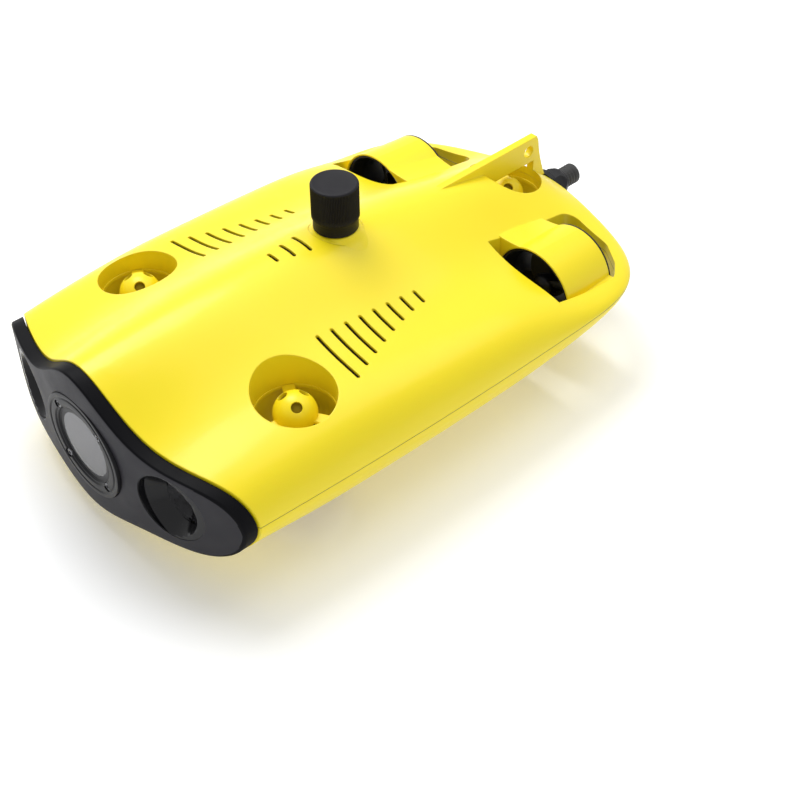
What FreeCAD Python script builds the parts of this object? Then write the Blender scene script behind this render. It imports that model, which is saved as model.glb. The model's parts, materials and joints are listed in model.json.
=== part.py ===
import FreeCAD, Part
import math
import os

V = FreeCAD.Vector
os.makedirs("parts", exist_ok=True)

# Compact underwater inspection vehicle: millimetres, nose towards -Y, +Z up,
# origin on the floor under the middle of the hull.

# ---- hull form ---------------------------------------------------------
HALF_BEAM = 113.0          # widest half width, at the parting line
NOSE_BEAM = 104.0          # half width at the nose panel
FRONT_Y = -163.2           # foremost line of the nose panel
STERN_Y = 191.0            # aft end of the moulded hull
FULL_Y = 60.0              # station where the beam is full
STERN_POWER = 5.5          # fullness of the stern outline in plan
PART_Z = 54.0              # parting plane of the two mouldings
NOSE_SWEEP_R = 250.0       # plan radius of the swept nose
PANEL_T = 8.0              # thickness of the nose panel at the middle
JOINT_GAP = 0.3            # gap between curved faces of separate pieces
SKIN_PITCH = 15            # half number of points across a hull section

# heights along the hull: (station, value)
CREST = ((-166, 105), (-130, 108), (-60, 110.5), (-20, 110.5), (14, 109), (75, 100.5),
         (125, 92), (150, 86), (171, 78), (191, 63))
SHOULDER = ((-166, 74.3), (-108, 82), (-60, 84.5), (-8, 82.5), (50, 79), (79, 75.5),
            (96, 69.5), (125, 62.5), (160, 60), (191, 58))
CREST_WIDTH = ((-166, 35), (-75, 42), (75, 40), (191, 38))
BILGE = ((-166, 27), (-138, 33), (-100, 45), (-70, 50), (54, 51), (107, 30), (140, 17), (191, 9))
BILGE_POWER = ((-166, 7), (-110, 2.8), (-60, 2.3), (60, 2.3), (120, 5), (191, 7))
KEEL = ((-166, 13), (-100, 11), (70, 10), (125, 20), (160, 16), (191, 5))
KEEL_WIDTH = ((-166, 36), (-80, 60), (60, 60), (120, 30), (191, 30))

# ---- camera ------------------------------------------------------------
CAM_Z = 56.5
CAM_RING_R = 31.3
CAM_RING_T = 7.0
CAM_FACE_Y = -165.2        # front face of the camera ring
GLASS_R = 20.8
GLASS_T = 3.0
GLASS_SET = 3.6            # depth of the glass behind the ring face
CAM_BORE_R = 24.0          # opening in the nose panel
CAM_SCREW_PCD = 50.0
SCREW_HEAD_R = 2.4
SCREW_HEAD_H = 1.6
LENS_R = 9.0
LENS_L = 14.0
HOOD_WALL = 3.2

# ---- lamps -------------------------------------------------------------
LAMP_X = 63.7
LAMP_Z = 52.6
LAMP_R = 19.0
LAMP_DEEP = 17.0
LAMP_FLOOR_R = 9.0
CUP_WALL = 1.6
LED_R = 4.0

# ---- vertical thrusters ------------------------------------------------
DUCT_R = 22.7
LINER_WALL = 2.4
LINER_TOP_Z = 68.5
FRONT_DUCT = (68.6, -75.5)
REAR_DUCT_Y = 154.5
DOME_R = 12.2
GUARD_Z = 70.7             # level of the front guard arms
REAR_GUARD_Z = 64.7
GUARD_ARM_W = 7.0
GUARD_ARM_T = 2.4
GUARD_RING_T = 1.6
DOME_HOLE_DEEP = 2.2
DOME_HOLE_R = 2.7
STATOR_R = 8.6
STATOR_H = 8.0
ROTOR_R = 10.4
SHAFT_R = 1.5
SHAFT_FIT = 0.06           # radial clearance of every shaft
BLADE_GAP = 1.2            # tip clearance in the duct
BLADE_T = 1.6
BLADE_N = 3
HUB_R = 6.0
HUB_NOSE_L = 4.0

# ---- main thrusters ----------------------------------------------------
POD_X = 68.4
POD_Z = 51.0
POD_FRONT_Y = 107.0
POD_BACK_Y = 146.0
POD_FRONT_R = 29.4
POD_BACK_R = 26.9
POD_BORE_R = 25.2
NOZZLE_WALL = 1.6
POD_EDGE = 0.9             # thin front edge of the nacelle
MOUTH_L = 10.0             # length of the flared mouth
BACK_RING_T = 1.4
WINDOW_X0 = 41.0           # opening of the hull round each main thruster
WINDOW_Y0 = 96.0
RAIL_W = 14.5              # width of the outer rail round the thruster
STERN_BAR_W = 16.0
WINDOW_CORNER_R = 9.0
MOTOR_R = 10.5
MOTOR_L = 17.0
VANE_T = 1.8
VANE_N = 5
MAIN_BLADE_N = 4
MAIN_HUB_L = 12.0

# ---- fin ---------------------------------------------------------------
FIN_Y0 = 62.0
FIN_TIP_Y = 179.0
FIN_TOP_Z = 98.0
FIN_T = 5.0
FIN_ROOT_Z = 66.0
FIN_BRIDGE_Z = 81.0        # under side of the fin above the rear duct
FIN_HOLE_Y = 172.0
FIN_HOLE_Z = 89.5
FIN_HOLE_R = 4.0

# ---- vents -------------------------------------------------------------
VENT_W = 2.2
VENT_N = 8
VENT_Y0 = -42.5
VENT_PITCH = 9.7
VENT_X0 = 48.0
VENT_LONG = 34.0
VENT_SHORT = 9.5
TOP_VENT_Y = (-31.0, -20.8, -10.6)
TOP_VENT_LONG = (9.2, 13.7, 16.7)

# ---- port on the back --------------------------------------------------
PORT_Y = 14.4
CAP_R = 13.6
CAP_TOP_Z = 138.0
CAP_BASE_Z = 109.4
CAP_LOWER_H = 7.0
CAP_RELIEF = 0.7
CAP_FLUTES = 36
FLUTE_DEEP = 0.45
COLLAR_R = 15.2
COLLAR_H = 9.0
PLUG_R = 8.0
PLUG_L = 16.0
PLUG_FIT = 0.08

# ---- dry tube and its contents -----------------------------------------
TUBE_R = 30.0
TUBE_WALL = 2.5
TUBE_Z = 50.0
TUBE_Y0 = -112.0
TUBE_Y1 = 84.0
TUBE_CAP_T = 8.0
TUBE_FIT = 0.05
PACK_R = 9.2
PACK_L = 65.0
BOARD_T = 1.6
BOARD_HALF = 15.0
BALLAST_R = 7.0
BALLAST_L = 60.0
BALLAST_X = 50.0
BALLAST_Y = -30.0
BALLAST_Z = 16.0

# ---- tail gland --------------------------------------------------------
GLAND_Z = 51.0
GLAND_FLANGE_R = 13.0
GLAND_FLANGE_T = 4.0
GLAND_NUT_R = 10.5
GLAND_NUT_L = 11.0
GLAND_BODY_R = 8.0
GLAND_SLEEVE_R = 6.8
GLAND_END_Y = 221.8
GLAND_BORE_R = 2.6

# ---- underside ---------------------------------------------------------
FOOT_SCREW_Y = (-82.0, -25.0, 40.0)
FOOT_SCREW_X = 34.0
INSERT_Y = -60.0
INSERT_R = 5.0
INSERT_BORE_R = 3.175
INSERT_L = 10.0


def blend(table, y):
    """Smooth monotone value at station y from a short table."""
    pts = sorted(table)
    if y <= pts[0][0]:
        return float(pts[0][1])
    if y >= pts[-1][0]:
        return float(pts[-1][1])
    n = len(pts)
    slope = [(pts[i + 1][1] - pts[i][1]) / (pts[i + 1][0] - pts[i][0]) for i in range(n - 1)]
    tang = [slope[0]]
    for i in range(1, n - 1):
        a = slope[i - 1]
        b = slope[i]
        tang.append(0.0 if a * b <= 0 else 2 * a * b / (a + b))
    tang.append(slope[-1])
    k = max(i for i in range(n - 1) if pts[i][0] <= y)
    h = pts[k + 1][0] - pts[k][0]
    t = (y - pts[k][0]) / h
    return ((1 + 2 * t) * (1 - t) ** 2 * pts[k][1] + t * (1 - t) ** 2 * h * tang[k]
            + t * t * (3 - 2 * t) * pts[k + 1][1] + t * t * (t - 1) * h * tang[k + 1])


def half_beam(y):
    """Half width of the hull at the parting plane."""
    if y > FULL_Y:
        u = (y - FULL_Y) / (STERN_Y + 0.6 - FULL_Y)
        return HALF_BEAM * math.sqrt(max(0.0, 1 - u ** STERN_POWER))
    u = (FULL_Y - y) / (FULL_Y - FRONT_Y)
    return HALF_BEAM - (HALF_BEAM - NOSE_BEAM) * u ** 2


def crown(x, y, inset):
    """Height of the upper skin above the parting plane."""
    s = min(1.0, abs(x) / (half_beam(y) - inset))
    edge = (1 - s ** 9) ** 0.6
    low = blend(SHOULDER, y) - PART_Z
    high = blend(CREST, y) - blend(SHOULDER, y)
    hump = high * math.exp(-(x / blend(CREST_WIDTH, y)) ** 2)
    return max(0.0, (low + hump - inset) * edge)


def belly(x, y, inset):
    """Depth of the lower skin below the parting plane."""
    s = min(1.0, abs(x) / (half_beam(y) - inset))
    edge = (1 - s ** blend(BILGE_POWER, y)) ** 0.5
    keel = blend(KEEL, y) * math.exp(-(x / blend(KEEL_WIDTH, y)) ** 2)
    return max(0.0, (blend(BILGE, y) + keel - inset) * edge)


def section(y, side, inset):
    """Closed section wire: a smooth skin over a straight chord."""
    w = half_beam(y) - inset
    fn = crown if side > 0 else belly
    pts = []
    knots = []
    for i in range(-SKIN_PITCH, SKIN_PITCH + 1):
        t = abs(i) / SKIN_PITCH
        s = 1 - (1 - t) ** 2.0 * (1 + 0.9 * t)
        x = math.copysign(w * s, i)
        pts.append(V(x, y, PART_Z + side * fn(x, y, inset)))
        knots.append(i / SKIN_PITCH)
    skin = Part.BSplineCurve()
    skin.interpolate(Points=pts, Parameters=knots)
    return Part.Wire([skin.toShape(), Part.LineSegment(pts[-1], pts[0]).toShape()])


def hull_half(side, stations, inset=0.0):
    return Part.makeLoft([section(y, side, inset) for y in stations], True, False)


def frame_stations():
    ahead = [FRONT_Y - 4 + (FULL_Y - FRONT_Y + 4) * i / 11 for i in range(12)]
    run = STERN_Y - FULL_Y
    aft = [FULL_Y + run * math.sin(math.radians(a)) for a in (14, 27, 39, 50, 60, 69, 76, 82, 86, 90)]
    return ahead + aft


def box(x0, x1, y0, y1, z0, z1):
    return Part.makeBox(x1 - x0, y1 - y0, z1 - z0, V(x0, y0, z0))


def rod_y(r, y0, y1, x=0.0, z=0.0):
    return Part.makeCylinder(r, y1 - y0, V(x, y0, z), V(0, 1, 0))


def rod_z(r, z0, z1, x=0.0, y=0.0):
    return Part.makeCylinder(r, z1 - z0, V(x, y, z0), V(0, 0, 1))


def cone_y(r0, r1, y0, y1, x=0.0, z=0.0):
    return Part.makeCone(r0, r1, y1 - y0, V(x, y0, z), V(0, 1, 0))


def spin(shape, n, centre, axis):
    out = []
    for i in range(n):
        s = shape.copy()
        s.rotate(centre, axis, 360.0 * i / n)
        out.append(s)
    return out


def fuse(shapes):
    return shapes[0].multiFuse(shapes[1:]).removeSplitter() if len(shapes) > 1 else shapes[0]


def mirrored(shape):
    return shape.mirror(V(0, 0, 0), V(1, 0, 0))


def save(shape, name):
    solids = shape.Solids
    body = solids[0] if len(solids) == 1 else Part.makeCompound(solids)
    body.exportStep("parts/%s.step" % name)


UP_BOX = box(-300, 300, -400, 400, PART_Z, 400)
LOW_BOX = box(-300, 300, -400, 400, 0, PART_Z)


def nose_zone(back):
    """Everything aft of the swept nose surface, moved back by a distance."""
    return rod_z(NOSE_SWEEP_R - back, -10, 200, 0, FRONT_Y + NOSE_SWEEP_R)


# ---- outer form --------------------------------------------------------
FRAMES = frame_stations()
upper_form = hull_half(1, FRAMES)
lower_form = hull_half(-1, FRAMES).common(LOW_BOX)
body_zone = nose_zone(PANEL_T)


def window():
    """Plan opening round one main thruster, through the whole hull."""
    x1 = HALF_BEAM - RAIL_W
    y1 = STERN_Y - STERN_BAR_W
    corners = [V(WINDOW_X0, WINDOW_Y0, -10), V(x1, WINDOW_Y0, -10),
               V(x1, POD_BACK_Y, -10), V(x1 - 8.5, POD_BACK_Y + 10.5, -10),
               V(x1 - 24, y1 - 8, -10), V(WINDOW_X0, y1 - 4, -10)]
    face = Part.Face(Part.makePolygon(corners + [corners[0]]))
    prism = face.extrude(V(0, 0, 200))
    rounds = []
    for e in prism.Edges:
        a = e.Vertexes[0].Point
        if abs(e.Length - 200) < 1e-6 and a.y > POD_BACK_Y - 20:
            rounds.append(e)
    return prism.makeFillet(WINDOW_CORNER_R, rounds)


def pod(side):
    """Half of the moulded nacelle that carries one main thruster."""
    cone = cone_y(POD_FRONT_R, POD_BACK_R, POD_FRONT_Y, POD_BACK_Y, POD_X, POD_Z)
    wires = []
    for y, r in ((POD_FRONT_Y, POD_FRONT_R), (POD_BACK_Y, POD_BACK_R)):
        foot = PART_Z
        top = POD_Z + side * r
        x0 = WINDOW_X0 - 4
        root = PART_Z + side * ((crown(x0, y, 0) if side > 0 else belly(x0, y, 0)) - 1.0)
        mid = V((x0 + POD_X) / 2, y, (top + root) / 2 - side * 1.5)
        p = [V(POD_X, y, foot), V(POD_X, y, top), V(x0, y, root), V(x0, y, foot)]
        curve = Part.Arc(p[1], mid, p[2]).toShape()
        line = [Part.LineSegment(p[0], p[1]).toShape(), curve,
                Part.LineSegment(p[2], p[3]).toShape(), Part.LineSegment(p[3], p[0]).toShape()]
        wires.append(Part.Wire(line))
    saddle = Part.makeLoft(wires, True, True)
    rail = box(POD_X, HALF_BEAM - RAIL_W + 2, POD_FRONT_Y, POD_BACK_Y, POD_Z - 9, POD_Z + 7)
    whole = cone.fuse(rail)
    return whole.common(UP_BOX if side > 0 else LOW_BOX).fuse(saddle)


def fin():
    """Tail fin with a swept trailing edge and a bridge over the rear duct."""
    y_b = STERN_Y - 2
    pts = [V(0, FIN_Y0, FIN_ROOT_Z), V(0, FIN_Y0, FIN_TOP_Z - 1), V(0, FIN_TIP_Y, FIN_TOP_Z)]
    tip = V(0, FIN_TIP_Y + 1.5, FIN_TOP_Z - 3)
    low = V(0, y_b, FIN_ROOT_Z)
    sweep = Part.Arc(tip, V(0, FIN_TIP_Y + 4.2, (FIN_TOP_Z + FIN_ROOT_Z) / 2), low).toShape()
    edges = [Part.LineSegment(pts[0], pts[1]).toShape(), Part.LineSegment(pts[1], pts[2]).toShape(),
             Part.LineSegment(pts[2], tip).toShape(), sweep, Part.LineSegment(low, pts[0]).toShape()]
    plate = Part.Face(Part.Wire(edges)).extrude(V(FIN_T, 0, 0))
    plate.translate(V(-FIN_T / 2, 0, 0))
    return plate


def vent(x0, x1, y, z0, z1):
    r = VENT_W / 2
    slot = box(x0 + r, x1 - r, y - r, y + r, z0, z1)
    return fuse([slot, rod_z(r, z0, z1, x0 + r, y), rod_z(r, z0, z1, x1 - r, y)])


VENTS = []
for i in range(VENT_N):
    span = VENT_LONG + (VENT_SHORT - VENT_LONG) * (1 - (1 - i / (VENT_N - 1)) ** 1.3)
    slot_x = VENT_X0 + 3.0 * i / (VENT_N - 1)
    right = vent(slot_x, slot_x + span, VENT_Y0 + VENT_PITCH * i, PART_Z + 6, 130)
    VENTS.append(right)
    VENTS.append(mirrored(right))
for y, span in zip(TOP_VENT_Y, TOP_VENT_LONG):
    VENTS.append(vent(-span / 2, span / 2, y, PART_Z + 32, 130))

DUCTS = [(FRONT_DUCT[0], FRONT_DUCT[1]), (-FRONT_DUCT[0], FRONT_DUCT[1]), (0.0, REAR_DUCT_Y)]
LINER_R = DUCT_R + LINER_WALL
SEAT_R = LINER_R + JOINT_GAP
duct_bores = [rod_z(DUCT_R, LINER_TOP_Z - 1, 200, x, y) for x, y in DUCTS]
liner_bores = [rod_z(SEAT_R, -10, LINER_TOP_Z, x, y) for x, y in DUCTS]
windows = [window(), mirrored(window())]
MOUTH_R = POD_FRONT_R - POD_EDGE
pod_bores = []
for s in (1, -1):
    pod_bores.append(rod_y(POD_BORE_R, WINDOW_Y0, POD_BACK_Y + 4, s * POD_X, POD_Z))
    pod_bores.append(cone_y(MOUTH_R, POD_BORE_R, POD_FRONT_Y, POD_FRONT_Y + MOUTH_L, s * POD_X, POD_Z))
nose_bores = [rod_y(CAM_BORE_R, FRONT_Y - 10, TUBE_Y0 - TUBE_CAP_T, 0, CAM_Z)]
LAMP_SEAT_R = LAMP_R + CUP_WALL + JOINT_GAP
LAMP_RIM_Y = FRONT_Y + NOSE_SWEEP_R - math.sqrt(NOSE_SWEEP_R ** 2 - LAMP_X ** 2)
for s in (1, -1):
    nose_bores.append(rod_y(LAMP_SEAT_R, FRONT_Y - 10, LAMP_RIM_Y + LAMP_DEEP + 1, s * LAMP_X, LAMP_Z))

tube_room = rod_y(TUBE_R + JOINT_GAP, TUBE_Y0 - TUBE_CAP_T - 1, TUBE_Y1 + TUBE_CAP_T + 1, 0, TUBE_Z)
PORT_SEAT_Z = CAP_BASE_Z - COLLAR_H
collar_bore = rod_z(COLLAR_R + JOINT_GAP, PORT_SEAT_Z, 200, 0, PORT_Y)
plug_hole = rod_z(PLUG_R + 1.5, 70, PORT_SEAT_Z + 1, 0, PORT_Y)
cable_way = rod_y(GLAND_BODY_R + JOINT_GAP, REAR_DUCT_Y + SEAT_R + 6, STERN_Y + 40, 0, GLAND_Z)
cap_pocket = rod_z(CAP_R + 0.8, CAP_BASE_Z - 0.4, 200, 0, PORT_Y)

# ---- upper moulding ----------------------------------------------------
upper = upper_form.common(body_zone).cut(windows)
upper = upper.fuse([pod(1), mirrored(pod(1)), fin()])
bridge = rod_z(DUCT_R, PART_Z - 1, FIN_BRIDGE_Z, 0, REAR_DUCT_Y)
open_top = rod_z(DUCT_R, PART_Z - 1, 200, 0, REAR_DUCT_Y).cut(
    box(-FIN_T / 2, FIN_T / 2, 100, 200, FIN_BRIDGE_Z, 200))
fin_hole = Part.makeCylinder(FIN_HOLE_R, 40, V(-20, FIN_HOLE_Y, FIN_HOLE_Z), V(1, 0, 0))
upper = upper.cut(duct_bores[:2] + liner_bores + pod_bores + VENTS + [open_top, bridge, fin_hole])
upper = upper.cut(nose_bores)
upper = upper.cut([tube_room, collar_bore, plug_hole, cable_way, cap_pocket])
save(upper, "upper_shell")

# ---- lower moulding ----------------------------------------------------
lower = lower_form.common(body_zone).cut(windows)
screw_holes = []
for y in FOOT_SCREW_Y:
    for x in (FOOT_SCREW_X, -FOOT_SCREW_X):
        screw_holes.append(rod_z(SCREW_HEAD_R + 0.2, -1, SCREW_HEAD_H + 1.0, x, y))
lower = lower.fuse([pod(-1), mirrored(pod(-1))])
ballast_bore = rod_y(BALLAST_R + JOINT_GAP, BALLAST_Y - JOINT_GAP, BALLAST_Y + BALLAST_L + JOINT_GAP,
                     BALLAST_X, BALLAST_Z)
insert_hole = rod_z(INSERT_R + 0.02, -1, INSERT_L, 0, INSERT_Y)
lower = lower.cut(liner_bores + pod_bores + screw_holes + [tube_room, cable_way, insert_hole])
lower = lower.cut([ballast_bore, mirrored(ballast_bore)])
lower = lower.cut(nose_bores)
save(lower, "lower_shell")
print("shells", len(upper.Solids), len(lower.Solids), upper.isValid(), lower.isValid())

# ---- nose panel --------------------------------------------------------
panel_zone = nose_zone(0).cut(nose_zone(PANEL_T))
panel = upper_form.common(panel_zone).fuse(lower_form.common(panel_zone)).removeSplitter()
RING_BACK_Y = CAM_FACE_Y + CAM_RING_T
panel = panel.cut(rod_y(CAM_RING_R + JOINT_GAP, FRONT_Y - 10, RING_BACK_Y, 0, CAM_Z))
panel = panel.cut(nose_bores)
save(panel, "nose_panel")


# ---- camera ------------------------------------------------------------
def camera_parts():
    face = CAM_FACE_Y
    back = RING_BACK_Y
    ring = rod_y(CAM_RING_R, face, back, 0, CAM_Z)
    ring = ring.cut(cone_y(GLASS_R + 2.4, GLASS_R, face - 0.01, face + GLASS_SET, 0, CAM_Z))
    ring = ring.cut(rod_y(GLASS_R - 2.0, face, back + 1, 0, CAM_Z))
    ring = ring.cut(rod_y(GLASS_R + 0.05, face + GLASS_SET, face + GLASS_SET + GLASS_T, 0, CAM_Z))
    heads = []
    for k in range(4):
        a = math.radians(45 + 90 * k)
        x = CAM_SCREW_PCD / 2 * math.cos(a)
        z = CAM_Z + CAM_SCREW_PCD / 2 * math.sin(a)
        ring = ring.cut(rod_y(SCREW_HEAD_R + 0.15, face - 1, face + SCREW_HEAD_H + 0.2, x, z))
        head = rod_y(SCREW_HEAD_R, face + 0.2, face + 0.2 + SCREW_HEAD_H, x, z)
        socket = Part.Face(Part.makePolygon([
            V(x + 1.2 * math.cos(math.radians(60 * j)), face, z + 1.2 * math.sin(math.radians(60 * j)))
            for j in range(7)]))
        heads.append(head.cut(socket.extrude(V(0, 1.2, 0))))
    glass = rod_y(GLASS_R, face + GLASS_SET, face + GLASS_SET + GLASS_T, 0, CAM_Z)
    lens_y = face + GLASS_SET + GLASS_T + 1.0
    lens = rod_y(LENS_R, lens_y, lens_y + LENS_L, 0, CAM_Z)
    lens = lens.cut(cone_y(LENS_R - 1.2, 3.0, lens_y - 0.01, lens_y + 4, 0, CAM_Z))
    seat = lens_y + LENS_L
    hood_r = CAM_BORE_R - HOOD_WALL
    board = rod_y(hood_r - JOINT_GAP, seat, seat + BOARD_T, 0, CAM_Z)
    front = TUBE_Y0 - TUBE_CAP_T
    hood = rod_y(CAM_BORE_R - JOINT_GAP, back, front, 0, CAM_Z)
    hood = hood.cut(rod_y(hood_r, back - 1, seat + BOARD_T, 0, CAM_Z))
    hood = hood.cut(rod_y(hood_r - HOOD_WALL, back, front + 1, 0, CAM_Z))
    return ring, Part.makeCompound(heads), glass, lens, board, hood


ring, ring_screws, glass, lens, sensor, hood = camera_parts()
save(ring, "camera_ring")
save(ring_screws, "camera_ring_screws")
save(glass, "camera_window")
save(lens, "camera_lens")
save(sensor, "camera_sensor_board")
save(hood, "camera_hood")


# ---- lamps -------------------------------------------------------------
def lamp_parts():
    rim = LAMP_RIM_Y
    outer = rod_y(LAMP_R + CUP_WALL, rim - 6, rim + LAMP_DEEP, LAMP_X, LAMP_Z)
    outer = outer.common(nose_zone(0))
    bowl = cone_y(LAMP_R, LAMP_FLOOR_R, rim - 4, rim + LAMP_DEEP - 3, LAMP_X, LAMP_Z)
    mouth = rod_y(LAMP_R, rim - 12, rim - 3.9, LAMP_X, LAMP_Z)
    cup = outer.cut([bowl, mouth])
    floor = rim + LAMP_DEEP - 3
    led_seat = rod_y(LED_R + 0.05, floor - 1, floor + 1.5, LAMP_X, LAMP_Z)
    cup = cup.cut(led_seat)
    led = rod_y(LED_R, floor - 0.6, floor + 1.5, LAMP_X, LAMP_Z)
    lens = cone_y(LED_R - 2.0, LED_R - 0.6, floor - 3.0, floor - 0.6, LAMP_X, LAMP_Z)
    led = led.fuse(lens).removeSplitter()
    lens_back = floor - 4.2
    r0 = LAMP_R + (LAMP_FLOOR_R - LAMP_R) * (lens_back - 1.6 - (rim - 4)) / (LAMP_DEEP + 1)
    r1 = LAMP_R + (LAMP_FLOOR_R - LAMP_R) * (lens_back - (rim - 4)) / (LAMP_DEEP + 1)
    cover = cone_y(r0 - 0.02, r1 - 0.02, lens_back - 1.6, lens_back, LAMP_X, LAMP_Z)
    return cup, led, cover


for part, name in zip(lamp_parts(), ("lamp_cup", "lamp_led", "lamp_cover")):
    save(part, name + "_right")
    save(mirrored(part), name + "_left")


# ---- propellers --------------------------------------------------------
def blade_row(n, r_hub, r_tip, chord, pitch_deg, thick):
    """Twisted blades round +Z, centred on z = 0."""
    wires = []
    for k in range(4):
        f = k / 3.0
        r = (r_hub - 1.2) + (r_tip - r_hub + 1.2) * f
        c = chord * (0.75 + 0.35 * math.sin(math.pi * min(1.0, f + 0.15)))
        a = math.radians(pitch_deg * (1.25 - 0.5 * f))
        t = thick * (1.15 - 0.45 * f)
        u = V(0, math.cos(a), math.sin(a))
        w = V(0, -math.sin(a), math.cos(a))
        o = V(r, 0, 0)
        flat = u * (c / 4)
        back = w * (t / 2)
        p = [o - u * (c / 2), o - flat + back, o + flat + back,
             o + u * (c / 2), o + flat - back, o - flat - back]
        wires.append(Part.makePolygon(p + [p[0]]))
    blade = Part.makeLoft(wires, True, True)
    blade = blade.common(rod_z(r_tip, -30, 30))
    return spin(blade, n, V(0, 0, 0), V(0, 0, 1))


def stepped_dome(r, z0):
    """Hemisphere as a stack of cone bands, closed by a small flat."""
    bands = []
    angles = (0, 22, 44, 64, 80)
    for a, b in zip(angles, angles[1:]):
        low = math.radians(a)
        high = math.radians(b)
        rise = r * (math.sin(high) - math.sin(low))
        bands.append(Part.makeCone(r * math.cos(low), r * math.cos(high), rise,
                                   V(0, 0, z0 + r * math.sin(low))))
    return fuse(bands)


def vertical_unit(guard_z):
    """Guard, motor, rotor and propeller of one vertical thruster at the origin of its duct."""
    dome = stepped_dome(DOME_R, guard_z)
    skirt = rod_z(DOME_R, guard_z - GUARD_ARM_T, guard_z)
    reach = DUCT_R - 0.1
    arms = []
    for a in (30, 150, 270):
        arm = box(DOME_R - 1.0, reach + 1, -GUARD_ARM_W / 2, GUARD_ARM_W / 2,
                  guard_z - GUARD_ARM_T, guard_z)
        arm.rotate(V(0, 0, 0), V(0, 0, 1), a)
        arms.append(arm.common(rod_z(reach, guard_z - 9, guard_z + 9)))
    rim = rod_z(reach, guard_z - GUARD_ARM_T, guard_z).cut(
        rod_z(reach - GUARD_RING_T, guard_z - 9, guard_z + 9))
    guard = dome.fuse([skirt, rim] + arms)
    holes = []
    for a in (-30, 90, 210):
        t = math.radians(35)
        d = V(math.sin(t) * math.cos(math.radians(a)), math.sin(t) * math.sin(math.radians(a)),
              math.cos(t))
        start = V(0, 0, guard_z) + d * (DOME_R - DOME_HOLE_DEEP)
        holes.append(Part.makeCylinder(DOME_HOLE_R, 20, start, d))
    guard = guard.cut(holes).removeSplitter()
    stator_z = guard_z - GUARD_ARM_T
    stator = rod_z(STATOR_R, stator_z - STATOR_H, stator_z)
    stator = stator.cut(rod_z(SHAFT_R + SHAFT_FIT, stator_z - STATOR_H - 1, stator_z - 1.0))
    bell_top = stator_z - 1.2 - JOINT_GAP
    bell_floor = stator_z - STATOR_H - 0.8
    bell_z = bell_floor - 2.2
    bell = rod_z(ROTOR_R - 0.8, bell_z, bell_top)
    bell = bell.cut(rod_z(STATOR_R + 0.35, bell_floor, bell_top + 1))
    shaft = rod_z(SHAFT_R, bell_floor - 0.5, stator_z - 1.4)
    rotor = bell.fuse(shaft).removeSplitter()
    hub_z = bell_z - 8.0
    hub = rod_z(HUB_R, hub_z + 1.5, bell_z)
    tip = Part.makeCone(HUB_R - 3.0, HUB_R, HUB_NOSE_L, V(0, 0, hub_z + 1.5 - HUB_NOSE_L))
    blades = blade_row(BLADE_N, HUB_R, DUCT_R - BLADE_GAP, 11.0, 24.0, BLADE_T)
    for b in blades:
        b.translate(V(0, 0, hub_z + 3.6))
    prop = fuse([hub.fuse(tip)] + blades)
    return guard, stator, rotor, prop


def place(shape, x, y):
    s = shape.copy()
    s.translate(V(x, y, 0))
    return s


front_unit = vertical_unit(GUARD_Z)
rear_unit = vertical_unit(REAR_GUARD_Z)
kinds = ("duct_guard_", "motor_", "rotor_", "propeller_")
for kind, part in zip(kinds, front_unit):
    save(place(part, *DUCTS[0]), kind + "front_right")
    save(place(part, *DUCTS[1]), kind + "front_left")
for kind, part in zip(kinds, rear_unit):
    save(place(part, *DUCTS[2]), kind + "tail_vertical")


liner_top = LINER_TOP_Z - 0.2
for (x, y), name in zip(DUCTS, ("front_right", "front_left", "tail_vertical")):
    bore = rod_z(DUCT_R, -6, 200, x, y)
    low = rod_z(LINER_R, -5, PART_Z, x, y).cut(bore).common(lower_form)
    high = rod_z(LINER_R, PART_Z, liner_top, x, y).cut(bore)
    save(low.fuse(high).removeSplitter(), "duct_liner_" + name)


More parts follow.
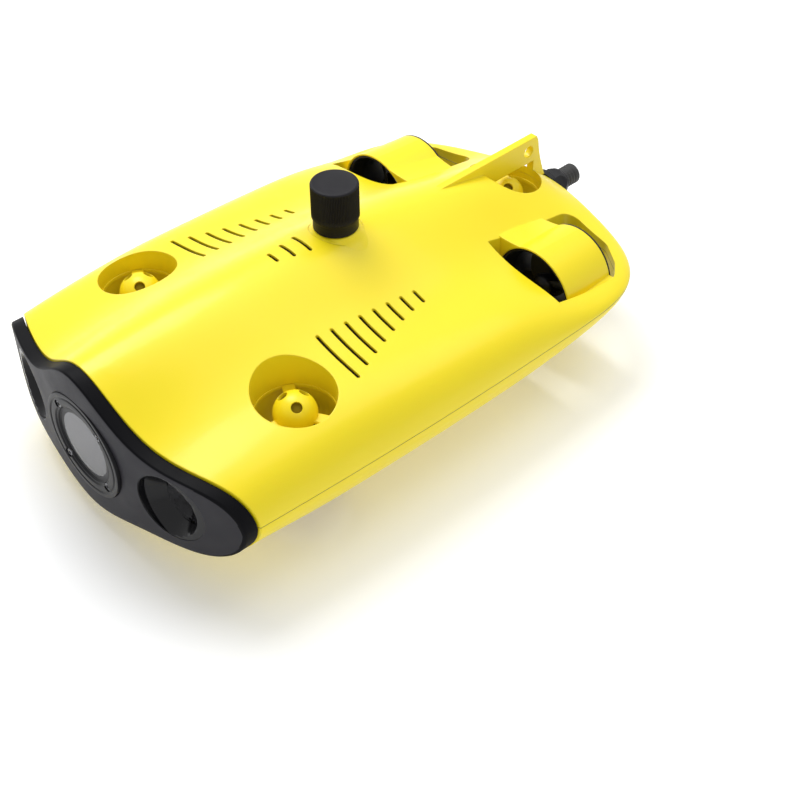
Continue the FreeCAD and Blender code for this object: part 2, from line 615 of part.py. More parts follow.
# ---- main thrusters ----------------------------------------------------
def main_unit():
    y0 = POD_FRONT_Y
    y1 = POD_BACK_Y
    outer = POD_BORE_R - JOINT_GAP
    inner = outer - NOZZLE_WALL
    flare = MOUTH_R - JOINT_GAP
    duct = rod_y(outer, y0 + 1, y1, POD_X, POD_Z)
    mouth = cone_y(flare, outer, y0, y0 + MOUTH_L, POD_X, POD_Z)
    back = rod_y(POD_BACK_R, y1, y1 + BACK_RING_T, POD_X, POD_Z)
    duct = duct.fuse([mouth, back])
    duct = duct.cut(rod_y(inner, y0 - 5, y1 + 5, POD_X, POD_Z))
    duct = duct.cut(cone_y(flare - NOZZLE_WALL, inner, y0 - 0.01, y0 + MOUTH_L, POD_X, POD_Z))
    duct = duct.removeSplitter()
    motor_y = y1 - MOTOR_L - 1
    vane = box(MOTOR_R - 0.8, inner + 0.6, motor_y + 4, y1 - 1, -VANE_T / 2, VANE_T / 2)
    vane.translate(V(POD_X, 0, POD_Z))
    vanes = spin(vane, VANE_N, V(POD_X, 0, POD_Z), V(0, 1, 0))
    motor = rod_y(MOTOR_R, motor_y, y1 - 3, POD_X, POD_Z)
    tail = cone_y(MOTOR_R, MOTOR_R - 3.5, y1 - 3, y1 + BACK_RING_T, POD_X, POD_Z)
    motor = motor.fuse(tail).removeSplitter()
    motor = motor.cut(rod_y(SHAFT_R + SHAFT_FIT, motor_y - 1, motor_y + 12, POD_X, POD_Z))
    duct = fuse([duct] + [v.cut(motor) for v in vanes])
    rotor_y = motor_y - JOINT_GAP
    rotor = rod_y(MOTOR_R, rotor_y - 4, rotor_y, POD_X, POD_Z)
    rotor = rotor.fuse(rod_y(SHAFT_R, rotor_y - 5, motor_y + 11.5, POD_X, POD_Z)).removeSplitter()
    hub_end = rotor_y - 4
    hub = rod_y(HUB_R + 1.5, hub_end - MAIN_HUB_L + 4, hub_end, POD_X, POD_Z)
    nose_y = hub_end - MAIN_HUB_L + 4
    nose = cone_y(HUB_R - 2.0, HUB_R + 1.5, nose_y - HUB_NOSE_L, nose_y, POD_X, POD_Z)
    hub = hub.fuse(nose).cut(rod_y(SHAFT_R, hub_end - 1, hub_end + 1, POD_X, POD_Z))
    blades = blade_row(MAIN_BLADE_N, HUB_R + 1.5, inner - BLADE_GAP, 12.0, 30.0, BLADE_T)
    placed = []
    for b in blades:
        b.rotate(V(0, 0, 0), V(1, 0, 0), -90)
        b.translate(V(POD_X, hub_end - MAIN_HUB_L / 2 + 0.5, POD_Z))
        placed.append(b)
    prop = fuse([hub] + placed)
    return duct, motor, rotor, prop


for kind, part in zip(("thruster_duct_", "motor_main_", "rotor_main_", "propeller_main_"), main_unit()):
    save(part, kind + "right")
    save(mirrored(part), kind + "left")


# ---- port on the back --------------------------------------------------
def port_parts():
    collar = rod_z(COLLAR_R, PORT_SEAT_Z, CAP_BASE_Z - JOINT_GAP, 0, PORT_Y)
    throat = rod_z(PLUG_R - 0.6 + PLUG_FIT, 70, PORT_SEAT_Z, 0, PORT_Y)
    foot = rod_z(PLUG_R + 1.5 - JOINT_GAP, TUBE_Z + TUBE_R + 6, PORT_SEAT_Z, 0, PORT_Y)
    collar = collar.fuse(foot).cut(throat).cut(
        rod_z(PLUG_R + PLUG_FIT, PORT_SEAT_Z - 9, 200, 0, PORT_Y)).removeSplitter()
    top = CAP_BASE_Z + CAP_LOWER_H
    cap = rod_z(CAP_R, top, CAP_TOP_Z, 0, PORT_Y)
    flutes = []
    for k in range(CAP_FLUTES):
        groove = [V(CAP_R + FLUTE_DEEP, -2 * FLUTE_DEEP, top - 1), V(CAP_R - FLUTE_DEEP, 0, top - 1),
                  V(CAP_R + FLUTE_DEEP, 2 * FLUTE_DEEP, top - 1)]
        flute = Part.Face(Part.makePolygon(groove + [groove[0]]))
        flute = flute.extrude(V(0, 0, CAP_TOP_Z - top - 0.4))
        flute.rotate(V(0, 0, 0), V(0, 0, 1), 360.0 * k / CAP_FLUTES)
        flutes.append(place(flute, 0, PORT_Y))
    cap = cap.cut(flutes)
    cap = cap.fuse(rod_z(CAP_R - CAP_RELIEF, CAP_BASE_Z, top, 0, PORT_Y)).removeSplitter()
    spigot_r = 4.0
    cap = cap.cut(rod_z(spigot_r + PLUG_FIT, CAP_BASE_Z - 1, CAP_BASE_Z + 12, 0, PORT_Y))
    cap = cap.cut(rod_z(PLUG_R + 0.4, CAP_BASE_Z - 1, CAP_BASE_Z + 0.5, 0, PORT_Y))
    plug = rod_z(PLUG_R, CAP_BASE_Z - PLUG_L + 8.5, CAP_BASE_Z + 0.2, 0, PORT_Y)
    plug = plug.fuse(rod_z(spigot_r, CAP_BASE_Z, CAP_BASE_Z + 11.7, 0, PORT_Y)).removeSplitter()
    groove = rod_z(PLUG_R + 1, CAP_BASE_Z - 5.0, CAP_BASE_Z - 3.2, 0, PORT_Y)
    plug = plug.cut(groove.cut(rod_z(PLUG_R - 1.2, 50, 200, 0, PORT_Y)))
    seal = rod_z(PLUG_R - 0.02, CAP_BASE_Z - 4.9, CAP_BASE_Z - 3.3, 0, PORT_Y)
    seal = seal.cut(rod_z(PLUG_R - 1.15, 50, 200, 0, PORT_Y))
    return collar, cap, plug, seal


for part, name in zip(port_parts(), ("port_collar", "port_cap", "port_plug", "port_seal")):
    save(part, name)


# ---- dry tube ----------------------------------------------------------
def tube_parts():
    y0 = TUBE_Y0
    y1 = TUBE_Y1
    bore = TUBE_R - TUBE_WALL
    tube = rod_y(TUBE_R, y0, y1, 0, TUBE_Z).cut(rod_y(bore, y0 - 1, y1 + 1, 0, TUBE_Z))
    plug_r = bore - TUBE_FIT
    front = rod_y(TUBE_R, y0 - TUBE_CAP_T, y0, 0, TUBE_Z).fuse(rod_y(plug_r, y0, y0 + 9, 0, TUBE_Z))
    rear = rod_y(TUBE_R, y1, y1 + TUBE_CAP_T, 0, TUBE_Z).fuse(rod_y(plug_r, y1 - 9, y1, 0, TUBE_Z))
    cells = []
    step = 2 * PACK_R + 0.4
    for x, z in ((-step / 2, -9), (step / 2, -9), (-step / 2, -9 + step), (step / 2, -9 + step)):
        for k in range(2):
            a = y0 + 14 + k * (PACK_L + 2)
            cells.append(rod_y(PACK_R, a, a + PACK_L, x, TUBE_Z - 4.5 + z))
    tray_y1 = y1 - 10
    floor = TUBE_Z - 13.5 + step + PACK_R + JOINT_GAP
    tray = box(-BOARD_HALF, BOARD_HALF, y0 + 9.0, tray_y1, floor, floor + BOARD_T)
    chips = []
    for k, (w, d) in enumerate(((14, 14), (8, 10), (10, 16), (12, 8))):
        c = box(-w / 2, w / 2, y0 + 22 + 38 * k, y0 + 22 + 38 * k + d,
                floor + BOARD_T, floor + BOARD_T + 3.0)
        chips.append(c)
    board = fuse([tray] + chips)
    return tube, front.removeSplitter(), rear.removeSplitter(), Part.makeCompound(cells), board


tube, cap_front, cap_rear, cells, board = tube_parts()
save(tube, "dry_tube")
save(cap_front, "tube_cap_front")
save(cap_rear, "tube_cap_rear")
save(cells, "battery_cells")
save(board, "main_board")

ballast = rod_y(BALLAST_R, BALLAST_Y, BALLAST_Y + BALLAST_L, BALLAST_X, BALLAST_Z)
save(ballast, "ballast_right")
save(mirrored(ballast), "ballast_left")


# ---- tail gland --------------------------------------------------------
def gland_parts():
    y0 = STERN_Y + 0.4
    x, z = 0, GLAND_Z
    thread_y = REAR_DUCT_Y + SEAT_R + 6.5
    body = rod_y(GLAND_BODY_R, thread_y, y0, x, z)
    body = body.fuse(rod_y(GLAND_FLANGE_R, y0, y0 + GLAND_FLANGE_T, x, z))
    body = body.fuse(rod_y(GLAND_BODY_R, y0 + GLAND_FLANGE_T, y0 + GLAND_FLANGE_T + 5, x, z))
    body = body.cut(rod_y(GLAND_BORE_R, thread_y - 1, STERN_Y + 60, x, z)).removeSplitter()
    n0 = y0 + GLAND_FLANGE_T
    hexa = [V(x + GLAND_NUT_R * math.cos(math.radians(60 * k)), n0,
              z + GLAND_NUT_R * math.sin(math.radians(60 * k))) for k in range(7)]
    nut = Part.Face(Part.makePolygon(hexa)).extrude(V(0, GLAND_NUT_L, 0))
    nut = nut.common(cone_y(GLAND_NUT_R + 2.0, GLAND_NUT_R - 1.4, n0, n0 + GLAND_NUT_L, x, z))
    nut = nut.cut(rod_y(GLAND_BODY_R + 0.05, n0 - 1, n0 + 5.2, x, z))
    nut = nut.cut(rod_y(GLAND_SLEEVE_R - 1.2, n0 + 4, n0 + GLAND_NUT_L + 1, x, z))
    sleeve = rod_y(GLAND_SLEEVE_R - 1.25, n0 + 5.2, n0 + GLAND_NUT_L, x, z)
    sleeve = sleeve.fuse(rod_y(GLAND_SLEEVE_R, n0 + GLAND_NUT_L, GLAND_END_Y, x, z))
    sleeve = sleeve.cut(rod_y(GLAND_BORE_R, n0, GLAND_END_Y + 1, x, z)).removeSplitter()
    return body, nut, sleeve


for part, name in zip(gland_parts(), ("gland_body", "gland_nut", "gland_sleeve")):
    save(part, name)

# ---- underside ---------------------------------------------------------
heads = []
for y in FOOT_SCREW_Y:
    for x in (FOOT_SCREW_X, -FOOT_SCREW_X):
        heads.append(rod_z(SCREW_HEAD_R, 0.8, 0.8 + SCREW_HEAD_H, x, y))
save(Part.makeCompound(heads), "hull_screws")
insert = rod_z(INSERT_R, 0.0, INSERT_L - 0.2, 0, INSERT_Y)
insert = insert.cut(rod_z(INSERT_BORE_R, -1, INSERT_L - 1.2, 0, INSERT_Y))
save(insert, "accessory_insert")
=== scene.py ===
import json
import math

import bmesh
import bpy
import numpy as np
from mathutils import Matrix, Vector


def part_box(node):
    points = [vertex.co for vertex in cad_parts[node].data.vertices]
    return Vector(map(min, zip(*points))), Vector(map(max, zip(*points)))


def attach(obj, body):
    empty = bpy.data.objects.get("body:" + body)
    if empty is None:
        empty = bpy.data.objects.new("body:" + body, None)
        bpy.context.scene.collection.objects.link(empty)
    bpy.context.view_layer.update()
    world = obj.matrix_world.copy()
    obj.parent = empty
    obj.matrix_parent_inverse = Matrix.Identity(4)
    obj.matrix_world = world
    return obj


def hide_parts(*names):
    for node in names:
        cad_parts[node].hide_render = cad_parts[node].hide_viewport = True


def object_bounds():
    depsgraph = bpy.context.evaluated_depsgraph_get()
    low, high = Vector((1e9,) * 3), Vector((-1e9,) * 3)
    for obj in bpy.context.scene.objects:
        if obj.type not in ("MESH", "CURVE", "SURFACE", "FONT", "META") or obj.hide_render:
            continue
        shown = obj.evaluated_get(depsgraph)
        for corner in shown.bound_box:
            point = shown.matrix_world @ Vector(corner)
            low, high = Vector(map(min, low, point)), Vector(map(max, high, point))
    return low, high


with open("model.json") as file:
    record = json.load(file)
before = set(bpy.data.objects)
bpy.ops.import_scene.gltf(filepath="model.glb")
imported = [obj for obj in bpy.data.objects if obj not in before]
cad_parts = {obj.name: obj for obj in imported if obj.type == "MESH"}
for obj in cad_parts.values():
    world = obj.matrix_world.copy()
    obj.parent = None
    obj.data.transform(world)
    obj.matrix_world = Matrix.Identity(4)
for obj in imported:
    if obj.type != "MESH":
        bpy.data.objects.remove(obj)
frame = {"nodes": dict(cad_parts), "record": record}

CAD_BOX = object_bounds()
MM = 0.001

# ---- driving sizes, millimetres ----------------------------------------
HALF_BEAM = 113.0
NOSE_BEAM = 104.0
FRONT_Y = -163.2
STERN_Y = 191.0
FULL_Y = 60.0
STERN_POWER = 5.5
PART_Z = 54.0
NOSE_SWEEP_R = 250.0
PANEL_T = 8.0
PANEL_ROUND = 1.4
CREST = ((-166, 105), (-130, 108), (-60, 110.5), (-20, 110.5), (14, 109), (75, 100.5),
         (125, 92), (150, 86), (171, 78), (191, 63))
SHOULDER = ((-166, 74.3), (-108, 82), (-60, 84.5), (-8, 82.5), (50, 79), (79, 75.5),
            (96, 69.5), (125, 62.5), (160, 60), (191, 58))
CREST_WIDTH = ((-166, 35), (-75, 42), (75, 40), (191, 38))
BILGE = ((-166, 27), (-138, 33), (-100, 45), (-70, 50), (54, 51), (107, 30), (140, 17), (191, 9))
BILGE_POWER = ((-166, 7), (-110, 2.8), (-60, 2.3), (60, 2.3), (120, 5), (191, 7))
KEEL = ((-166, 13), (-100, 11), (70, 10), (125, 20), (160, 16), (191, 5))
KEEL_WIDTH = ((-166, 36), (-80, 60), (60, 60), (120, 30), (191, 30))
RIM_STEPS = 6
# Panel faces whose normal points less forward than this take the painted-shade rim colour.
PANEL_FACE_NORMAL_Y = -0.88
RING_GAP = 0.25
RING_PROUD = 0.25
RING_SCREW_INSET = 2.4
RING_RECESS_R = 2.7
RING_SCREW_R = 2.3
SCREW_HEAD_H = 1.5
BOWL_GAP = 0.05
BOWL_FLOOR_R = 9.2
BOWL_HIGH = 14.5
BOWL_MOUTH = 22
COVER_GAP = 0.06
LED_SINK = 1.5
LED_POCKET_R = 4.2
LED_POCKET_DEEP = 1.2
LED_PADS = 6
LED_PAD_RING_R = 3.3
LED_PAD_R = 0.35
KNURL_RIBS = 96
KNURL_DEEP = 0.42
DOME_HOLE_R = 3.0
DOME_HOLE_DEEP = 5.0
DOME_HOLE_TILT = 35
DOME_HOLE_TURNS = (-30, 90, 210)
DOME_SKIN = 1.6
ARM_W = 7.0
ARM_T = 2.4
ARM_TURNS = (30, 150, 270)
VERTICAL_HUB_R = 6.0
VERTICAL_BLADE = (21.2, 11.0, 24.0, 1.6)
VERTICAL_BLADES = 3
MAIN_HUB_R = 7.5
MAIN_BLADE = (22.0, 12.0, 30.0, 1.6)
MAIN_BLADES = 4
NOZZLE_BORE_R = 23.3
NOZZLE_WALL_R = 24.9
NOZZLE_FLANGE_R = 26.9
VANES = 5
VANE_T = 1.8
VANE_Z = (1.6, 12.6)
CAP_FOOT_H = 7.0
CAP_FOOT_STEP = 1.2
POINTS_PER_RIB = 6
VENT_W = 2.2
VENT_N = 8
VENT_Y0 = -42.5
VENT_PITCH = 9.7
VENT_X0 = 48.0
VENT_LONG = 34.0
VENT_SHORT = 9.5
VENT_DRIFT = 3.0
VENT_TAPER = 1.3
VENT_END_GAP = 0.35
VENT_STRIP_T = 1.2
TOP_VENTS = ((-31.0, 9.2), (-20.8, 13.7), (-10.6, 16.7))
VENT_SHADE = 1.3
BOOT_BORE_R = 2.6
BOOT_RINGS = 4
BOOT_PITCH = 2.6
KEEL_SCREW_R = 2.4
KEEL_SCREW_MID_Y = -25.0
INSERT_BORE_R = 3.175
INSERT_TURNS = 8

# ---- picture's view and light ------------------------------------------
VIEW_TURN = 46.71
VIEW_LIFT = 42.797
VIEW_LENS = 61.37
VIEW_FROM = (0.480224, -0.388743, 0.555846)
FLOOR_REACH = 6.0
FLOOR_GLOW = 0.16
FILL_STRENGTH = 0.50


# ---- hull form ---------------------------------------------------------
def blend(table, y):
    """Smooth monotone value at station y from a short table."""
    if y <= table[0][0]:
        return float(table[0][1])
    if y >= table[-1][0]:
        return float(table[-1][1])
    n = len(table)
    slope = [(table[i + 1][1] - table[i][1]) / (table[i + 1][0] - table[i][0]) for i in range(n - 1)]
    tang = [slope[0]]
    for a, b in zip(slope, slope[1:]):
        tang.append(0.0 if a * b <= 0 else 2 * a * b / (a + b))
    tang.append(slope[-1])
    k = max(i for i in range(n - 1) if table[i][0] <= y)
    h = table[k + 1][0] - table[k][0]
    t = (y - table[k][0]) / h
    return ((1 + 2 * t) * (1 - t) ** 2 * table[k][1] + t * (1 - t) ** 2 * h * tang[k]
            + t * t * (3 - 2 * t) * table[k + 1][1] + t * t * (t - 1) * h * tang[k + 1])


def half_beam(y):
    """Half width of the hull at the parting plane."""
    if y > FULL_Y:
        u = (y - FULL_Y) / (STERN_Y + 0.6 - FULL_Y)
        return HALF_BEAM * math.sqrt(max(0.0, 1 - u ** STERN_POWER))
    u = (FULL_Y - y) / (FULL_Y - FRONT_Y)
    return HALF_BEAM - (HALF_BEAM - NOSE_BEAM) * u ** 2


def crown(x, y):
    """Height of the upper skin above the parting plane."""
    s = min(1.0, abs(x) / half_beam(y))
    low = blend(SHOULDER, y) - PART_Z
    high = blend(CREST, y) - blend(SHOULDER, y)
    hump = high * math.exp(-(x / blend(CREST_WIDTH, y)) ** 2)
    return max(0.0, (low + hump) * (1 - s ** 9) ** 0.6)


def belly(x, y):
    """Depth of the lower skin below the parting plane."""
    s = min(1.0, abs(x) / half_beam(y))
    keel = blend(KEEL, y) * math.exp(-(x / blend(KEEL_WIDTH, y)) ** 2)
    return max(0.0, (blend(BILGE, y) + keel) * (1 - s ** blend(BILGE_POWER, y)) ** 0.5)


# ---- mesh helpers ------------------------------------------------------
def new_piece(name, verts, faces, sharp=35):
    """Object from points in millimetres, smooth shaded with sharp edges past an angle."""
    mesh = bpy.data.meshes.new(name)
    mesh.from_pydata([tuple(c * MM for c in v) for v in verts], [], faces)
    mesh.validate()
    obj = bpy.data.objects.new(name, mesh)
    bpy.context.scene.collection.objects.link(obj)
    settle(obj, sharp)
    return obj


def settle(obj, sharp=35):
    """Welds, turns the faces outwards and sets the shading."""
    bm = bmesh.new()
    bm.from_mesh(obj.data)
    bmesh.ops.remove_doubles(bm, verts=bm.verts, dist=0.002 * MM)
    bmesh.ops.recalc_face_normals(bm, faces=bm.faces)
    bm.to_mesh(obj.data)
    bm.free()
    for poly in obj.data.polygons:
        poly.use_smooth = True
    obj.data.set_sharp_from_angle(angle=math.radians(sharp))


def rounded(points, radius, steps=5):
    """Open outline with each inner corner replaced by a small arc."""
    out = [points[0]]
    for a, b, c in zip(points, points[1:], points[2:]):
        a, b, c = (np.array(p, float) for p in (a, b, c))
        u = a - b
        w = c - b
        lu = np.linalg.norm(u)
        lw = np.linalg.norm(w)
        reach = min(radius, lu * 0.48, lw * 0.48)
        p0 = b + u / lu * reach
        p1 = b + w / lw * reach
        for i in range(steps + 1):
            t = i / steps
            out.append(tuple((1 - t) ** 2 * p0 + 2 * t * (1 - t) * b + t * t * p1))
    out.append(points[-1])
    return out


def lathe_data(profile, turns=96):
    """Revolves (radius, height) points about +Z."""
    verts = []
    rows = []
    for r, h in profile:
        if r < 1e-6:
            rows.append([len(verts)] * turns)
            verts.append((0.0, 0.0, h))
            continue
        row = []
        for k in range(turns):
            a = 2 * math.pi * k / turns
            row.append(len(verts))
            verts.append((r * math.cos(a), r * math.sin(a), h))
        rows.append(row)
    faces = []
    for low, high in zip(rows, rows[1:]):
        for k in range(turns):
            j = (k + 1) % turns
            ring = [low[k], low[j], high[j], high[k]]
            faces.append(tuple(dict.fromkeys(ring)))
    return verts, [f for f in faces if len(f) > 2]


def placed(verts, centre, facing="Z"):
    """Moves lathe points to a centre, with their +Z turned to the wanted axis."""
    out = []
    for x, y, z in verts:
        p = {"Z": (x, y, z), "Y": (x, z, -y), "-Y": (x, -z, y)}[facing]
        out.append((p[0] + centre[0], p[1] + centre[1], p[2] + centre[2]))
    return out


def joined(parts):
    """One vertex and face list from several."""
    verts = []
    faces = []
    for v, f in parts:
        base = len(verts)
        verts += list(v)
        faces += [tuple(i + base for i in face) for face in f]
    return verts, faces


def slab(x0, x1, y0, y1, z0, z1, edge=0.5):
    """Box with chamfered long edges along X."""
    ring = [(y0 + edge, z0), (y1 - edge, z0), (y1, z0 + edge), (y1, z1 - edge),
            (y1 - edge, z1), (y0 + edge, z1), (y0, z1 - edge), (y0, z0 + edge)]
    verts = [(x, y, z) for x in (x0, x1) for y, z in ring]
    n = len(ring)
    faces = [tuple(range(n))[::-1], tuple(range(n, 2 * n))]
    for k in range(n):
        j = (k + 1) % n
        faces.append((k, j, n + j, n + k))
    return verts, faces


def turned(verts, degrees):
    """Turns points about +Z."""
    a = math.radians(degrees)
    c, s = math.cos(a), math.sin(a)
    return [(x * c - y * s, x * s + y * c, z) for x, y, z in verts]


def cut(obj, cutters, sharp=35):
    """Takes the cutters out of a piece and removes them."""
    for tool in cutters:
        mod = obj.modifiers.new("cut", "BOOLEAN")
        mod.operation = "DIFFERENCE"
        mod.solver = "EXACT"
        mod.object = tool
    graph = bpy.context.evaluated_depsgraph_get()
    mesh = bpy.data.meshes.new_from_object(obj.evaluated_get(graph))
    obj.modifiers.clear()
    obj.data = mesh
    for tool in cutters:
        bpy.data.objects.remove(tool)
    settle(obj, sharp)
    return obj


def rod(radius, z0, z1, centre, facing="Z", turns=48):
    """Plain cylinder, used as a cutter."""
    verts, faces = lathe_data([(0, z0), (radius, z0), (radius, z1), (0, z1)], turns)
    return new_piece("tool", placed(verts, centre, facing), faces)


def dress(obj, body, material, slot, *nodes):
    """Gives a piece its finish and body, and hides the CAD nodes that it stands for; the slot is not used.
    """
    obj.data.materials.clear()
    obj.data.materials.append(material)
    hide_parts(*nodes)
    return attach(obj, body)


def middle(node):
    """Centre, lowest and highest corner of a node in millimetres."""
    lo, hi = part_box(node)
    return (lo + hi) / 2 / MM, lo / MM, hi / MM


# ---- materials ---------------------------------------------------------
class Finish:
    """Node material with colour drift, fine grain, uneven gloss and softened edges."""

    def __init__(self, name, colour, rough, metallic=0.0, gleam=0.5):
        self.mat = bpy.data.materials.new(name)
        self.mat.use_nodes = True
        self.tree = self.mat.node_tree
        self.shader = self.tree.nodes["Principled BSDF"]
        self.shader.inputs["Metallic"].default_value = metallic
        self.shader.inputs["Specular IOR Level"].default_value = gleam
        self.coord = self.node("ShaderNodeTexCoord").outputs["Object"]
        self.colour = colour
        self.rough = rough

    def node(self, kind, **values):
        n = self.tree.nodes.new(kind)
        for key, value in values.items():
            setattr(n, key, value)
        return n

    def link(self, a, b):
        self.tree.links.new(a, b)

    def noise(self, scale, detail=3.0):
        n = self.node("ShaderNodeTexNoise")
        n.inputs["Scale"].default_value = scale
        n.inputs["Detail"].default_value = detail
        self.link(self.coord, n.inputs["Vector"])
        return n.outputs["Fac"]

    def ramp(self, source, low, high, from_low=0.3, from_high=0.7):
        n = self.node("ShaderNodeMapRange")
        n.inputs["From Min"].default_value = from_low
        n.inputs["From Max"].default_value = from_high
        n.inputs["To Min"].default_value = low
        n.inputs["To Max"].default_value = high
        self.link(source, n.inputs["Value"])
        return n.outputs["Result"]

    def mix(self, factor, a, b):
        n = self.node("ShaderNodeMix", data_type="RGBA")
        for socket, value in ((n.inputs[6], a), (n.inputs[7], b)):
            if isinstance(value, tuple):
                socket.default_value = (*value, 1)
            else:
                self.link(value, socket)
        if isinstance(factor, float):
            n.inputs[0].default_value = factor
        else:
            self.link(factor, n.inputs[0])
        return n.outputs[2]

    def build(self, drift=0.06, drift_scale=18.0, grain=2600.0, bump=0.02, gloss_drift=0.05,
              edge=0.4, wear=0.0):
        dark = tuple(c * (1 - drift) for c in self.colour)
        base = self.mix(self.ramp(self.noise(drift_scale), 0.0, 1.0), self.colour, dark)
        speck = self.ramp(self.noise(grain * 0.6, 1.0), 0.0, 0.35, 0.45, 0.8)
        base = self.mix(speck, base, tuple(c * (1 - drift * 1.5) for c in self.colour))
        if wear > 0:
            geo = self.node("ShaderNodeNewGeometry")
            worn = self.ramp(geo.outputs["Pointiness"], 0.0, wear, 0.53, 0.62)
            base = self.mix(worn, base, tuple(min(1.0, c * 1.25 + 0.04) for c in self.colour))
        self.link(base, self.shader.inputs["Base Color"])
        uneven = self.ramp(self.noise(drift_scale * 3.1), self.rough - gloss_drift,
                           self.rough + gloss_drift)
        self.link(uneven, self.shader.inputs["Roughness"])
        bumper = self.node("ShaderNodeBump")
        bumper.inputs["Strength"].default_value = bump
        bumper.inputs["Distance"].default_value = 0.0004
        self.link(self.noise(grain, 2.0), bumper.inputs["Height"])
        if edge > 0:
            soft = self.node("ShaderNodeBevel", samples=6)
            soft.inputs["Radius"].default_value = edge * MM
            self.link(soft.outputs["Normal"], bumper.inputs["Normal"])
        self.link(bumper.outputs["Normal"], self.shader.inputs["Normal"])
        return self.mat


def glass_like(name, colour, rough, weight, ior=1.49, gleam=0.5):
    """Finish that lets a share of the light through."""
    f = Finish(name, colour, rough)
    f.shader.inputs["Transmission Weight"].default_value = weight
    f.shader.inputs["Specular IOR Level"].default_value = gleam
    f.shader.inputs["IOR"].default_value = ior
    return f.build(drift=0.04, gloss_drift=0.01, bump=0.0, edge=0.15)


def shell_finish():
    """Moulded yellow plastic with a thin dark parting line."""
    f = Finish("shell_yellow", (0.93, 0.745, 0.012), 0.36, gleam=0.32)
    f.shader.inputs["Coat Weight"].default_value = 0.10
    f.shader.inputs["Coat Roughness"].default_value = 0.12
    f.shader.inputs["Subsurface Weight"].default_value = 0.04
    f.shader.inputs["Subsurface Scale"].default_value = 0.002
    f.build(drift=0.035, drift_scale=9.0, grain=3200.0, bump=0.035, edge=1.1)
    split = f.node("ShaderNodeSeparateXYZ")
    f.link(f.coord, split.inputs[0])
    gap = f.node("ShaderNodeMath", operation="SUBTRACT")
    f.link(split.outputs["Z"], gap.inputs[0])
    gap.inputs[1].default_value = PART_Z * MM
    near = f.node("ShaderNodeMath", operation="ABSOLUTE")
    f.link(gap.outputs[0], near.inputs[0])
    seam = f.ramp(near.outputs[0], 0.75, 0.0, 0.00010, 0.00035)
    base = f.shader.inputs["Base Color"].links[0].from_socket
    f.link(f.mix(seam, base, (0.10, 0.075, 0.01)), f.shader.inputs["Base Color"])
    return f.mat


def plain(name, colour, rough, metallic=0.0, gleam=0.5, **detail):
    """Opaque finish in one call."""
    return Finish(name, colour, rough, metallic, gleam).build(**detail)


MATERIALS = {
    "shell": shell_finish(),
    "panel": plain("panel_charcoal", (0.018, 0.017, 0.022), 0.50, gleam=0.2, grain=2300.0, bump=0.12,
                   edge=0.4, wear=0.15),
    # Near-black, almost glossless copy of the panel charcoal for the panel's rim: painted shade.
    "edge": plain("panel_rim_painted_shade", (0.003, 0.003, 0.004), 0.5, gleam=0.06, bump=0.03, edge=0.3),
    # Dark olive: painted shade for the insides of the guard holes.
    "shade": plain("hole_shade", (0.20, 0.14, 0.006), 0.7, gleam=0.05, drift=0.05, bump=0.03, edge=0.2),
    # Olive-black, glossless: painted shade for the bottoms of the vent slots.
    "slot_shade": plain("vent_slot_painted_shade", (0.014, 0.010, 0.002), 0.8, gleam=0.05, drift=0.1, bump=0.05, edge=0.0),
    "guard": plain("guard_yellow", (0.93, 0.735, 0.014), 0.35, gleam=0.3, drift=0.03, bump=0.03, edge=0.5),
    "black": plain("black_plastic", (0.006, 0.006, 0.0075), 0.36, gleam=0.2, bump=0.08, edge=0.3, wear=0.2),
    "cap": plain("cap_plastic", (0.006, 0.0055, 0.008), 0.52, gleam=0.16, bump=0.10, edge=0.15, wear=0.3),
    "bowl": plain("reflector_black", (0.003, 0.003, 0.004), 0.24, gleam=0.25, bump=0.02, edge=0.3),
    "glass": glass_like("port_glass", (0.18, 0.18, 0.20), 0.04, 0.55),
    "clear": glass_like("lamp_glass", (0.98, 0.98, 0.99), 0.02, 1.0, 1.04, 0.1),
    "screw": plain("screw_steel", (0.16, 0.16, 0.17), 0.32, 0.9, grain=1800.0, bump=0.05, edge=0.1),
    "metal": plain("anodised_metal", (0.42, 0.43, 0.45), 0.30, 1.0, grain=1500.0, bump=0.04, edge=0.2),
    "rotor": plain("rotor_paint", (0.05, 0.05, 0.055), 0.35, 0.3, bump=0.05, edge=0.2),
    "brass": plain("insert_brass", (0.60, 0.43, 0.16), 0.25, 1.0, bump=0.03, edge=0.2),
    "rubber": plain("gland_rubber", (0.014, 0.014, 0.014), 0.62, grain=1900.0, bump=0.2, edge=0.3),
    "led": plain("lamp_emitter", (0.26, 0.24, 0.15), 0.28, drift=0.12, drift_scale=700.0, edge=0.1),
    "board": plain("circuit_board", (0.02, 0.14, 0.06), 0.40, drift=0.3, drift_scale=260.0, edge=0.1),
    "cell": plain("cell_wrap", (0.06, 0.17, 0.34), 0.30, drift=0.1, drift_scale=60.0, edge=0.2),
    "lead": plain("ballast_metal", (0.20, 0.20, 0.21), 0.55, 0.6, drift=0.2, drift_scale=90.0, edge=0.3),
}


def dress_cad_nodes():
    """Gives every CAD node its finish, duct liners in the hull's colour as in the picture."""
    slots = {s["node"]: s["material_slot"] for s in frame["record"]["subparts"]}
    for name, obj in frame["nodes"].items():
        mat = MATERIALS["guard" if name.startswith("duct_liner") else slots[name]]
        obj.data.materials.clear()
        obj.data.materials.append(mat)
        for poly in obj.data.polygons:
            poly.material_index = 0


def lathe_piece(name, profile, centre, facing="Z", turns=96, sharp=35):
    """Object from a revolved profile."""
    verts, faces = lathe_data(profile, turns)
    return new_piece(name, placed(verts, centre, facing), faces, sharp)


# ---- nose panel --------------------------------------------------------
def sweep(x):
    """Foremost station of the swept nose at a distance from the middle."""
    return FRONT_Y + NOSE_SWEEP_R - math.sqrt(NOSE_SWEEP_R ** 2 - x * x)


